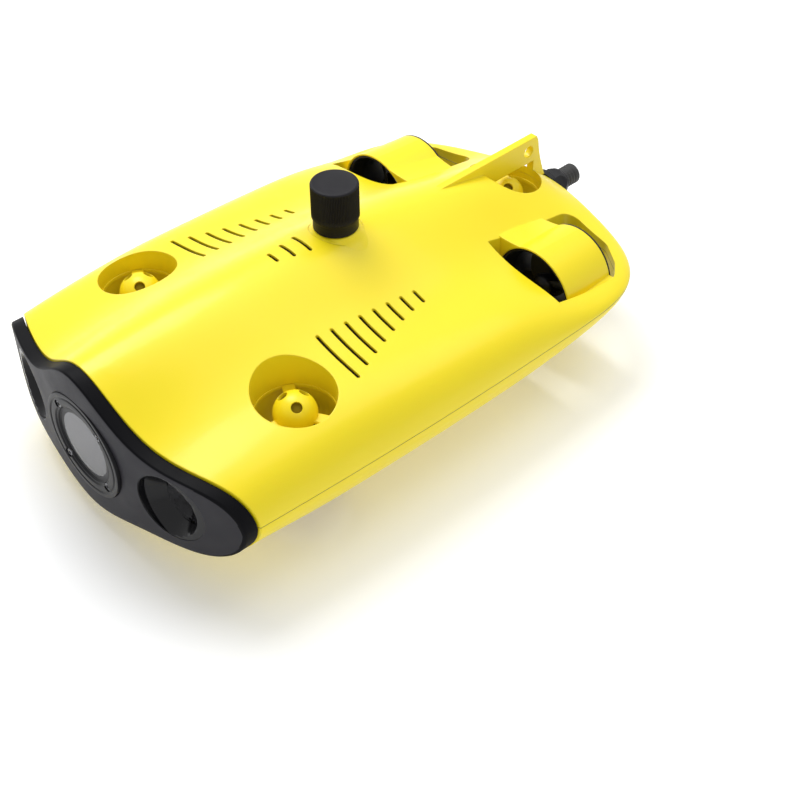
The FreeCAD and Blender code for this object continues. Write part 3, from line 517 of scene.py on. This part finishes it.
def panel_face(inset, back, columns=52, rows=22):
    """Grid of points over the nose, columns from left to right, rows from keel to crest."""
    grid = []
    for i in range(-columns, columns + 1):
        t = abs(i) / columns
        s = math.copysign(1 - (1 - t) ** 2.4, i)
        y = sweep(s * NOSE_BEAM)
        beam = half_beam(y)
        x = s * (beam - inset)
        top = PART_Z + max(0.0, crown(s * beam, y) - inset)
        low = PART_Z - max(0.0, belly(s * beam, y) - inset)
        column = []
        for k in range(rows + 1):
            z = low + (top - low) * k / rows
            column.append((x, sweep(x) + back, z))
        grid.append(column)
    return grid


def grid_faces(grid, base, flip=False):
    """Quads over a grid of points whose first vertex has the index base."""
    cols = len(grid)
    rows = len(grid[0])
    faces = []
    for i in range(cols - 1):
        for k in range(rows - 1):
            quad = (base + i * rows + k, base + (i + 1) * rows + k,
                    base + (i + 1) * rows + k + 1, base + i * rows + k + 1)
            faces.append(quad[::-1] if flip else quad)
    return faces


def rim_of(grid):
    """Points round the edge of a grid, along the keel and back along the crest."""
    return [c[0] for c in grid] + [c[-1] for c in reversed(grid)]


def nose_panel():
    """Swept fascia with a rounded rim and openings for the camera and lamps."""
    front = panel_face(PANEL_ROUND, 0.0)
    rear = panel_face(0.0, PANEL_T - 0.2)
    verts = [p for c in front for p in c]
    faces = grid_faces(front, 0)
    base = len(verts)
    verts += [p for c in rear for p in c]
    faces += grid_faces(rear, base, True)
    loops = []
    for k in range(RIM_STEPS + 1):
        a = math.radians(90 - 90 * k / RIM_STEPS)
        grid = panel_face(PANEL_ROUND * (1 - math.cos(a)), PANEL_ROUND * (1 - math.sin(a)), rows=1)
        loops.append(rim_of(grid))
    loops.append(rim_of(rear))
    base = len(verts)
    n = len(loops[0])
    for loop in loops:
        verts += loop
    for r in range(len(loops) - 1):
        for k in range(n):
            j = (k + 1) % n
            faces.append((base + r * n + k, base + r * n + j,
                          base + (r + 1) * n + j, base + (r + 1) * n + k))
    panel = new_piece("nose_fascia", verts, faces, 40)
    tools = []
    mid, lo, hi = middle("camera_ring")
    tools.append(rod((hi.x - lo.x) / 2 + RING_GAP, FRONT_Y - 20, FRONT_Y + 40, (mid.x, 0, mid.z), "Y", 128))
    for side in ("right", "left"):
        mid, lo, hi = middle("lamp_cup_" + side)
        radius = (hi.z - lo.z) / 2 + BOWL_GAP
        tools.append(rod(radius, FRONT_Y - 20, FRONT_Y + 80, (mid.x, 0, mid.z), "Y", 96))
    cut(panel, tools, 40)
    dress(panel, "hull", MATERIALS["panel"], "panel", "nose_panel")
    # Rim faces turned away from the front take the darker copy: painted shade along the panel's rounded
    # rim.
    panel.data.materials.append(MATERIALS["edge"])
    for poly in panel.data.polygons:
        poly.material_index = 1 if poly.normal.y > PANEL_FACE_NORMAL_Y else 0


# ---- camera ------------------------------------------------------------
def socket_screw(name, radius, height, centre, facing):
    """Cap screw with a rounded head and a hexagon socket."""
    head = rounded([(radius, 0), (radius, height), (radius * 0.5, height)], 0.4)
    profile = [(0, 0), (radius, 0)] + head[1:] + [(0, height)]
    screw = lathe_piece(name, profile, centre, facing, 40)
    verts, faces = lathe_data([(0, height * 0.35), (radius * 0.5, height * 0.35),
                               (radius * 0.5, height + 1), (0, height + 1)], 6)
    cut(screw, [new_piece("tool", placed(verts, centre, facing), faces)])
    return screw


def camera():
    """Grooved ring with its screws, nearly flush with the panel, and the stepped lens barrel."""
    mid, lo, hi = middle("camera_ring")
    centre = (mid.x, hi.y, mid.z)
    r = (hi.x - lo.x) / 2
    cut_back = FRONT_Y - lo.y - RING_PROUD
    h = hi.y - lo.y - cut_back
    window_lo, window_hi = middle("camera_window")[1:]
    glass = (window_hi.x - window_lo.x) / 2
    depth = window_lo.y - lo.y - cut_back
    outer = rounded([(glass - 2, 0), (r, 0), (r, h), (r - 2.2, h), (r - 2.6, h - 0.5), (r - 3.4, h - 0.5),
                     (r - 3.8, h), (glass + 3.4, h), (glass + 2.9, h - 0.8), (glass + 1.9, h - 0.8),
                     (glass + 1.4, h - 1.9), (glass + 0.7, h - 1.9), (glass + 0.1, h - depth + 0.1),
                     (glass - 2, h - depth + 0.1), (glass - 2, 0)], 0.35, 3)
    bezel = lathe_piece("camera_bezel", outer, centre, "-Y", 160)
    heads = middle("camera_ring_screws")
    pitch = (heads[2].x - heads[1].x) / 2 - RING_SCREW_INSET
    spots = [(mid.x + pitch * sx, mid.z + pitch * sz) for sx in (1, -1) for sz in (1, -1)]
    tools = [rod(RING_RECESS_R, h - 2.2, h + 3, (x, hi.y, z), "-Y") for x, z in spots]
    cut(bezel, tools)
    dress(bezel, "hull", MATERIALS["black"], "black", "camera_ring")
    for k, (x, z) in enumerate(spots):
        place = (x, hi.y - h + 2.1, z)
        screw = socket_screw("camera_screw_%d" % k, RING_SCREW_R, SCREW_HEAD_H, place, "-Y")
        dress(screw, "hull", MATERIALS["screw"], "screw", "camera_ring_screws")
    mid, lo, hi = middle("camera_lens")
    r = (hi.x - lo.x) / 2
    h = hi.y - lo.y
    barrel = [(0, 0), (r, 0), (r, h), (r - 0.8, h)]
    for k in range(5):
        barrel += [(r - 1.2 - k, h - 0.9 - 0.8 * k), (r - 1.7 - k, h - 0.9 - 0.8 * k)]
    barrel += [(2.6, h - 4.6), (1.4, h - 4.2), (0, h - 4.0)]
    dress(lathe_piece("camera_lens_barrel", rounded(barrel, 0.2, 2), (mid.x, hi.y, mid.z), "-Y", 96),
          "hull", MATERIALS["black"], "glass", "camera_lens")


# ---- lamps -------------------------------------------------------------
def bowl_radius(height, rim):
    """Inner radius of a lamp bowl at a height above its floor."""
    share = max(0.0, (height - 0.5) / (BOWL_HIGH - 0.5)) ** 0.95
    return BOWL_FLOOR_R + (rim - 0.35 - BOWL_FLOOR_R) * share


def lamps():
    """Dark bowls trimmed to the sweep, their clear discs and the emitters with solder pads."""
    for side in ("right", "left"):
        mid, lo, hi = middle("lamp_cup_" + side)
        r = (hi.z - lo.z) / 2
        led_mid, _, led_hi = middle("lamp_led_" + side)
        floor = led_hi.y - LED_SINK
        back = floor - hi.y
        profile = [(0, back), (r, back), (r, BOWL_MOUTH)]
        profile += [(r - 0.25 - 0.1 * k / 15, BOWL_MOUTH - 0.5 * k) for k in range(16)]
        profile += [(bowl_radius(h, r), h) for h in np.linspace(BOWL_HIGH - 0.2, 0.6, 12)]
        profile += [(BOWL_FLOOR_R, 0.3), (BOWL_FLOOR_R - 0.2, 0), (LED_POCKET_R, 0),
                    (LED_POCKET_R, -LED_POCKET_DEEP), (0, -LED_POCKET_DEEP)]
        verts, faces = lathe_data(profile, 128)
        verts = placed(verts, (mid.x, floor, mid.z), "-Y")
        verts = [(x, max(y, sweep(x) + 0.15), z) for x, y, z in verts]
        dress(new_piece("lamp_reflector_" + side, verts, faces, 30), "hull", MATERIALS["bowl"], "bowl",
              "lamp_cup_" + side)
        near, far = (floor - middle("lamp_cover_" + side)[k].y for k in (2, 1))
        cover = [(0, near), (bowl_radius(near, r) - COVER_GAP, near),
                 (bowl_radius(far, r) - COVER_GAP, far), (0, far)]
        dress(lathe_piece("lamp_cover_disc_" + side, cover, (mid.x, floor, mid.z), "-Y", 128), "hull",
              MATERIALS["clear"], "clear", "lamp_cover_" + side)
        parts = [lathe_data(rounded([(0, -1.1), (3.9, -1.1), (3.9, 0.5), (2.9, 0.6), (2.6, 1.6), (1.6, 2.4),
                                     (0, 2.6)], 0.3, 3), 48)]
        for k in range(LED_PADS):
            a = math.radians(360 / LED_PADS * k)
            dx, dy = LED_PAD_RING_R * math.cos(a), LED_PAD_RING_R * math.sin(a)
            pad = lathe_data([(0, 0), (LED_PAD_R, 0), (LED_PAD_R, 0.9), (0, 1.0)], 12)
            parts.append(([(x + dx, y + dy, z) for x, y, z in pad[0]], pad[1]))
        verts, faces = joined(parts)
        dress(new_piece("lamp_emitter_" + side, placed(verts, (led_mid.x, floor, led_mid.z), "-Y"), faces),
              "hull", MATERIALS["led"], "led", "lamp_led_" + side)


VERTICAL = ("front_right", "front_left", "tail_vertical")


# ---- vertical thruster guards ------------------------------------------
def quarter_arc(radius, base):
    """Profile points of a dome's flank, from its foot nearly to the top."""
    return [(radius * math.cos(math.radians(a)), radius * math.sin(math.radians(a)) + base)
            for a in range(0, 90, 5)]


def guards():
    """Domes with three slanting holes over a dark inner shell of painted shade, on three arms and a ring.
    """
    for where in VERTICAL:
        mid, lo, hi = middle("duct_guard_" + where)
        duct = (hi.x - lo.x) / 2
        dome = hi.z - lo.z - ARM_T
        profile = [(0, 0.1), (dome - 0.4, 0.1), (dome, 0.5)] + quarter_arc(dome, ARM_T)
        profile += [(0, dome + ARM_T)]
        body = lathe_piece("guard_" + where, profile, (mid.x, mid.y, lo.z), "Z", 96)
        tools = []
        tilt = math.radians(DOME_HOLE_TILT)
        for a in DOME_HOLE_TURNS:
            aim = Vector((math.sin(tilt) * math.cos(math.radians(a)),
                          math.sin(tilt) * math.sin(math.radians(a)), math.cos(tilt)))
            tool = rod(DOME_HOLE_R, dome - DOME_HOLE_DEEP, dome + 6, (0, 0, 0), "Z", 40)
            tool.data.transform(aim.to_track_quat("Z", "Y").to_matrix().to_4x4())
            tool.data.transform(Matrix.Translation((mid.x * MM, mid.y * MM, (lo.z + ARM_T) * MM)))
            tool.data.materials.append(MATERIALS["guard"])
            tools.append(tool)
        cut(body, tools, 30)
        # Dark yellow shell just inside the dome's skin: painted shade seen through the holes.
        inner = dome - DOME_SKIN
        shade_profile = [(0, 0.6), (inner, 0.6)] + quarter_arc(inner, ARM_T) + [(0, inner + ARM_T)]
        shade = lathe_piece("guard_hole_shade_" + where, shade_profile, (mid.x, mid.y, lo.z), "Z", 64)
        dress(shade, "hull", MATERIALS["shade"], "guard", "duct_guard_" + where)
        parts = []
        for a in ARM_TURNS:
            bar = slab(dome - 1.5, duct - 0.02, -ARM_W / 2, ARM_W / 2, 0, ARM_T, 0.5)
            parts.append((turned(bar[0], a), bar[1]))
        ring = rounded([(duct - 0.6, 0), (duct, 0), (duct, ARM_T), (duct - 0.6, ARM_T), (duct - 0.6, 0)],
                       0.2, 3)
        parts.append(lathe_data(ring, 128))
        verts, faces = joined(parts)
        arms = new_piece("guard_arms_" + where, placed(verts, (mid.x, mid.y, lo.z)), faces)
        dress(arms, "hull", MATERIALS["guard"], "guard", "duct_guard_" + where)
        dress(body, "hull", MATERIALS["guard"], "guard", "duct_guard_" + where)


# ---- propellers --------------------------------------------------------
def blade(r_hub, r_tip, chord, pitch, thick):
    """One twisted blade round +Z, with a lens section and a rounded tip."""
    rows = 14
    around = 20
    verts = []
    for k in range(rows + 1):
        f = k / rows
        r = r_hub - 1.2 + (r_tip - r_hub + 1.2) * f
        c = chord * (0.75 + 0.35 * math.sin(math.pi * min(1.0, f + 0.15)))
        c *= math.sqrt(max(0.02, 1 - max(0.0, (f - 0.8) / 0.205) ** 2))
        a = math.radians(pitch * (1.25 - 0.5 * f))
        t = thick * (1.15 - 0.6 * f)
        for j in range(around):
            b = 2 * math.pi * j / around
            u = c / 2 * math.cos(b)
            w = t / 2 * math.sin(b) * (1 - 0.25 * math.cos(b))
            y = u * math.cos(a) - w * math.sin(a)
            z = u * math.sin(a) + w * math.cos(a)
            bend = y / r
            verts.append((r * math.cos(bend), r * math.sin(bend), z))
    faces = [tuple(range(around))[::-1], tuple(range(rows * around, (rows + 1) * around))]
    for k in range(rows):
        for j in range(around):
            i = (j + 1) % around
            faces.append((k * around + j, k * around + i, (k + 1) * around + i, (k + 1) * around + j))
    return verts, faces


def propellers():
    """Three blades in each vertical duct and four on each main thruster, the left one mirrored."""
    for where in VERTICAL:
        _, lo, hi = middle("propeller_" + where)
        axis = middle("rotor_" + where)[0]
        h = hi.z - lo.z
        parts = [lathe_data(rounded([(0, 0), (3.2, 0), (VERTICAL_HUB_R, 4.2), (VERTICAL_HUB_R, h), (0, h)],
                                    1.2), 64)]
        for k in range(VERTICAL_BLADES):
            verts, faces = blade(VERTICAL_HUB_R, *VERTICAL_BLADE)
            parts.append((turned([(x, y, z + 6.1) for x, y, z in verts], 120 * k), faces))
        verts, faces = joined(parts)
        prop = new_piece("blades_" + where, placed(verts, (axis.x, axis.y, lo.z)), faces)
        dress(prop, "propeller_" + where, MATERIALS["black"], "black", "propeller_" + where)
    for side in ("right", "left"):
        _, lo, hi = middle("propeller_main_" + side)
        axis = middle("rotor_main_" + side)[0]
        h = hi.y - lo.y
        parts = [lathe_data(rounded([(0, 0), (MAIN_HUB_R, 0), (MAIN_HUB_R, h - 4), (3.6, h), (0, h)],
                                    1.6), 64)]
        for k in range(MAIN_BLADES):
            verts, faces = blade(MAIN_HUB_R, *MAIN_BLADE)
            if side == "left":
                verts = [(x, -y, z) for x, y, z in verts]
            parts.append((turned([(x, y, z + h / 2 - 1) for x, y, z in verts], 90 * k + 20), faces))
        verts, faces = joined(parts)
        prop = new_piece("blades_main_" + side, placed(verts, (axis.x, hi.y, axis.z), "-Y"), faces)
        dress(prop, "propeller_main_" + side, MATERIALS["black"], "black", "propeller_main_" + side)


# ---- main thrusters ----------------------------------------------------
def main_thrusters():
    """Flared nozzles with vanes, and the motor pods inside them."""
    for side in ("right", "left"):
        mid, lo, hi = middle("thruster_duct_" + side)
        h = hi.y - lo.y
        mouth = (hi.x - lo.x) / 2
        profile = rounded([(NOZZLE_BORE_R, 0), (NOZZLE_FLANGE_R, 0), (NOZZLE_FLANGE_R, 1.4),
                           (NOZZLE_WALL_R, 1.4), (NOZZLE_WALL_R, h - 10), (mouth, h - 0.7),
                           (mouth - 0.8, h), (mouth - 1.6, h - 0.7), (NOZZLE_BORE_R, h - 10),
                           (NOZZLE_BORE_R, 0)], 0.6)
        parts = [lathe_data(profile, 160)]
        for k in range(VANES):
            vane = slab(9.9, NOZZLE_BORE_R + 0.5, -VANE_T / 2, VANE_T / 2, *VANE_Z, 0.55)
            parts.append((turned(vane[0], 72 * k + 90), vane[1]))
        verts, faces = joined(parts)
        duct = new_piece("nozzle_" + side, placed(verts, (mid.x, hi.y, mid.z), "-Y"), faces)
        dress(duct, "hull", MATERIALS["black"], "black", "thruster_duct_" + side)
        mid, lo, hi = middle("motor_main_" + side)
        r = (hi.x - lo.x) / 2
        h = hi.y - lo.y
        cone = rounded([(0, 0.1), (r, 0.1), (r, h - 5.2), (r - 0.5, h - 5.0), (r - 0.5, h - 4.4),
                        (r, h - 4.2), (r - 3.2, h), (2.0, h), (1.8, h - 1.2), (0, h - 1.2)], 0.5, 4)
        dress(lathe_piece("motor_pod_" + side, cone, (mid.x, lo.y, mid.z), "Y", 96), "hull",
              MATERIALS["black"], "metal", "motor_main_" + side)


# ---- port, gland and fasteners -----------------------------------------
def port_cap():
    """Round cap with fine ribs that fade out above a plain, narrower foot."""
    mid, lo, hi = middle("port_cap")
    r = (hi.x - lo.x) / 2
    h = hi.z - lo.z
    foot = CAP_FOOT_H
    turns = KNURL_RIBS * POINTS_PER_RIB
    heights = [0, 0.3, foot - 0.6, foot, foot + 0.5] + [foot + 0.5 + (h - foot - 1.9) * k / 14
                                                        for k in range(1, 15)] + [h - 0.9, h - 0.35, h]
    verts = []
    for z in heights:
        fade = min(1.0, max(0.0, (z - foot - 0.4) / 3.0)) * min(1.0, max(0.0, (h - 0.5 - z) / 0.9))
        shrink = 0.7 if z <= foot - 0.6 else (0.35 if z <= foot else 0.0)
        if z == 0:
            shrink = 1.1
        if z > h - 0.6:
            shrink += 0.35 if z < h else 1.0
        for k in range(turns):
            a = 2 * math.pi * k / turns
            wave = 0.5 - 0.5 * math.cos(2 * math.pi * k / POINTS_PER_RIB)
            rr = r - shrink - KNURL_DEEP * fade * wave ** 0.8
            verts.append((rr * math.cos(a), rr * math.sin(a), z))
    faces = []
    for i in range(len(heights) - 1):
        for k in range(turns):
            j = (k + 1) % turns
            faces.append((i * turns + k, i * turns + j, (i + 1) * turns + j, (i + 1) * turns + k))
    last = (len(heights) - 1) * turns
    rings = [(r - 1.5, h - 0.05), (r - 2.2, h - 0.25), (r - 6, h - 0.3), (0.0, h - 0.3)]
    for rr, z in rings[:-1]:
        base = len(verts)
        for k in range(turns):
            a = 2 * math.pi * k / turns
            verts.append((rr * math.cos(a), rr * math.sin(a), z))
        for k in range(turns):
            j = (k + 1) % turns
            faces.append((last + k, last + j, base + j, base + k))
        last = base
    faces.append(tuple(last + k for k in range(turns)))
    faces.append(tuple(range(turns))[::-1])
    cap = new_piece("knurled_cap", placed(verts, (mid.x, mid.y, lo.z)), faces, 50)
    dress(cap, "cap", MATERIALS["cap"], "cap", "port_cap")


def port_seat():
    """Seat under the cap, in hull colour, with a hollow flank that runs out on the skin."""
    mid, lo, hi = middle("port_collar")
    hole = (hi.x - lo.x) / 2 + 0.3
    cap_lo, cap_hi = middle("port_cap")[1:]
    foot = (cap_hi.x - cap_lo.x) / 2 - CAP_FOOT_STEP
    flank = ((foot + 0.3, 0.0), (foot + 1.0, 0.5), (foot + 2.3, 2.0), (foot + 4.2, 3.6), (foot + 6.6, 5.2),
             (foot + 9.5, 7.4), (foot + 11.5, 10.0))
    radii = [9.0] + [foot - 0.4 + 0.4 * k for k in range(31)]
    turns = 128
    verts = []
    for low in (0, 1):
        for r in radii:
            for k in range(turns):
                a = 2 * math.pi * k / turns
                x = mid.x + r * math.cos(a)
                y = mid.y + r * math.sin(a)
                skin = PART_Z + crown(x, y)
                z = hi.z - blend(flank, r)
                z = max(z, min(hi.z + 0.15, skin)) if r < hole else max(z, skin - 0.6)
                verts.append((x, y, z - 2.5 * low))
    faces = []
    n = len(radii)
    for i in range(n - 1):
        for k in range(turns):
            j = (k + 1) % turns
            a = i * turns
            b = a + turns
            faces.append((a + k, a + j, b + j, b + k))
            a += n * turns
            b += n * turns
            faces.append((a + k, b + k, b + j, a + j))
    for i in (0, n - 1):
        for k in range(turns):
            j = (k + 1) % turns
            a = i * turns
            b = a + n * turns
            faces.append((a + k, a + j, b + j, b + k))
    seat = new_piece("port_seat", verts, faces, 50)
    dress(seat, "hull", MATERIALS["shell"], "black", "port_collar")


def vent_slot_shade_strips():
    """Dark strips just under the skin, one in each vent slot: painted shade that makes the blind slots look
    deep.
    """
    slots = [(y, -span / 2, span / 2) for y, span in TOP_VENTS]
    for i in range(VENT_N):
        span = VENT_LONG + (VENT_SHORT - VENT_LONG) * (1 - (1 - i / (VENT_N - 1)) ** VENT_TAPER)
        x0 = VENT_X0 + VENT_DRIFT * i / (VENT_N - 1)
        slots.append((VENT_Y0 + VENT_PITCH * i, x0, x0 + span))
        slots.append((VENT_Y0 + VENT_PITCH * i, -x0 - span, -x0))
    parts = []
    half = VENT_W / 2 - 0.02
    steps = 24
    for y, x0, x1 in slots:
        x0 += VENT_END_GAP
        x1 -= VENT_END_GAP
        verts = []
        for k in range(steps + 1):
            x = x0 + (x1 - x0) * k / steps
            for side in (-1, 1):
                top = PART_Z + crown(x, y + side * half) - VENT_SHADE
                verts += [(x, y + side * half, top), (x, y + side * half, top - VENT_STRIP_T)]
        faces = []
        for k in range(steps):
            a = 4 * k
            b = a + 4
            faces += [(a, a + 2, b + 2, b), (a + 1, b + 1, b + 3, a + 3), (a, b, b + 1, a + 1),
                      (a + 2, a + 3, b + 3, b + 2)]
        last = 4 * steps
        faces += [(0, 1, 3, 2), (last, last + 2, last + 3, last + 1)]
        parts.append((verts, faces))
    verts, faces = joined(parts)
    shade_strips = new_piece("vent_slot_shade_strips", verts, faces, 30)
    shade_strips.data.materials.append(MATERIALS["slot_shade"])
    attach(shade_strips, "hull")


def gland():
    """Rubber boot with raised rings, over the cable's way out."""
    mid, lo, hi = middle("gland_sleeve")
    h = hi.y - lo.y
    r = (hi.x - lo.x) / 2
    profile = [(BOOT_BORE_R, 0), (5.4, 0), (5.4, h * 0.26), (r, h * 0.28)]
    for k in range(BOOT_RINGS):
        z = h * 0.34 + k * BOOT_PITCH
        profile += [(r, z), (r - 0.5, z + 0.5), (r - 0.5, z + 1.2), (r, z + 1.7)]
    profile += [(r, h - 1.2), (r - 1.4, h), (3.2, h), (BOOT_BORE_R, h - 0.6), (BOOT_BORE_R, 0)]
    dress(lathe_piece("gland_boot", rounded(profile, 0.25, 3), (mid.x, lo.y, mid.z), "Y", 72), "hull",
          MATERIALS["rubber"], "rubber", "gland_sleeve")


def underside():
    """Keel screws, made pointing up and mirrored about their seats, and the threaded insert."""
    mid, lo, hi = middle("hull_screws")
    for y in (lo.y + KEEL_SCREW_R, KEEL_SCREW_MID_Y, hi.y - KEEL_SCREW_R):
        for x in (lo.x + KEEL_SCREW_R, hi.x - KEEL_SCREW_R):
            name = "keel_screw_%d_%d" % (round(x), round(y))
            screw = socket_screw(name, KEEL_SCREW_R, SCREW_HEAD_H, (x, y, hi.z), "Z")
            screw.data.transform(Matrix.Translation((-x * MM, -y * MM, -hi.z * MM)))
            screw.data.transform(Matrix.Diagonal((1, 1, -1, 1)))
            screw.data.transform(Matrix.Translation((x * MM, y * MM, hi.z * MM)))
            screw.data.flip_normals()
            dress(screw, "hull", MATERIALS["screw"], "screw", "hull_screws")
    mid, lo, hi = middle("accessory_insert")
    r = (hi.x - lo.x) / 2
    h = hi.z - lo.z
    bore = INSERT_BORE_R
    profile = [(0, h), (r, h), (r, 0), (bore + 0.6, 0)]
    for k in range(INSERT_TURNS):
        profile += [(bore, 0.6 + k), (bore + 0.45, 1.1 + k)]
    profile += [(bore, 8.8), (0, 8.8)]
    dress(lathe_piece("threaded_insert", profile, (mid.x, mid.y, lo.z), "Z", 64), "hull",
          MATERIALS["brass"], "brass", "accessory_insert")


# ---- studio ------------------------------------------------------------
def area_light(name, place, aim, size, power):
    """White round lamp at a place, pointed at another."""
    data = bpy.data.lights.new(name, "AREA")
    data.shape = "DISK"
    data.size = size
    data.energy = power
    obj = bpy.data.objects.new(name, data)
    obj.location = place
    obj.rotation_euler = (Vector(aim) - Vector(place)).to_track_quat("-Z", "Y").to_euler()
    bpy.context.scene.collection.objects.link(obj)


def studio():
    """Glowing paper floor, three lamps, and a world that shows white but fills less."""
    floor = bpy.data.meshes.new("floor")
    r = FLOOR_REACH
    floor.from_pydata([(-r, -r, 0), (r, -r, 0), (r, r, 0), (-r, r, 0)], [], [(0, 1, 2, 3)])
    plane = bpy.data.objects.new("floor", floor)
    plane.location.z = CAD_BOX[0].z - 0.0002
    bpy.context.scene.collection.objects.link(plane)
    paper = Finish("paper", (0.93, 0.93, 0.93), 0.9)
    paper.shader.inputs["Emission Color"].default_value = (1.0, 1.0, 1.0, 1)
    paper.shader.inputs["Emission Strength"].default_value = FLOOR_GLOW
    floor.materials.append(paper.build(drift=0.004, bump=0.0, edge=0.0))

    world = bpy.data.worlds.new("studio")
    bpy.context.scene.world = world
    world.use_nodes = True
    tree = world.node_tree
    tree.nodes.clear()
    path = tree.nodes.new("ShaderNodeLightPath")
    clear = tree.nodes.new("ShaderNodeMath")
    clear.operation = "MAXIMUM"
    tree.links.new(path.outputs["Is Camera Ray"], clear.inputs[0])
    tree.links.new(path.outputs["Is Transmission Ray"], clear.inputs[1])
    seen = tree.nodes.new("ShaderNodeMath")
    seen.operation = "MAXIMUM"
    tree.links.new(clear.outputs[0], seen.inputs[0])
    tree.links.new(path.outputs["Is Glossy Ray"], seen.inputs[1])
    white = tree.nodes.new("ShaderNodeBackground")
    white.inputs["Color"].default_value = (1, 1, 1, 1)
    white.inputs["Strength"].default_value = 1.0
    fill = tree.nodes.new("ShaderNodeBackground")
    fill.inputs["Color"].default_value = (0.96, 0.98, 1.0, 1)
    fill.inputs["Strength"].default_value = FILL_STRENGTH
    mix = tree.nodes.new("ShaderNodeMixShader")
    out = tree.nodes.new("ShaderNodeOutputWorld")
    tree.links.new(seen.outputs[0], mix.inputs[0])
    tree.links.new(fill.outputs[0], mix.inputs[1])
    tree.links.new(white.outputs[0], mix.inputs[2])
    tree.links.new(mix.outputs[0], out.inputs[0])

    area_light("key", (-0.60, 0.10, 1.15), (0, 0, 0.05), 0.8, 12.0)
    area_light("top", (0.10, 0.60, 1.3), (0, 0.05, 0.05), 1.1, 5.0)
    area_light("side", (1.2, -0.6, 0.6), (0, 0, 0.05), 0.9, 1.6)


def camera_view():
    """Camera at the photograph's angle, from the right and above the nose."""
    turn = math.radians(VIEW_TURN)
    lift = math.radians(VIEW_LIFT)
    back = Vector((math.sin(turn) * math.cos(lift), -math.cos(turn) * math.cos(lift), math.sin(lift)))
    data = bpy.data.cameras.new("view")
    data.lens = VIEW_LENS
    data.sensor_width = 36.0
    obj = bpy.data.objects.new("view", data)
    obj.location = VIEW_FROM
    obj.rotation_euler = (-back).to_track_quat("-Z", "Y").to_euler()
    bpy.context.scene.collection.objects.link(obj)
    bpy.context.scene.camera = obj


bpy.context.scene.view_settings.view_transform = "Standard"
camera_view()
studio()
dress_cad_nodes()
nose_panel()
camera()
lamps()
guards()
propellers()
main_thrusters()
port_cap()
port_seat()
vent_slot_shade_strips()
gland()
underside()
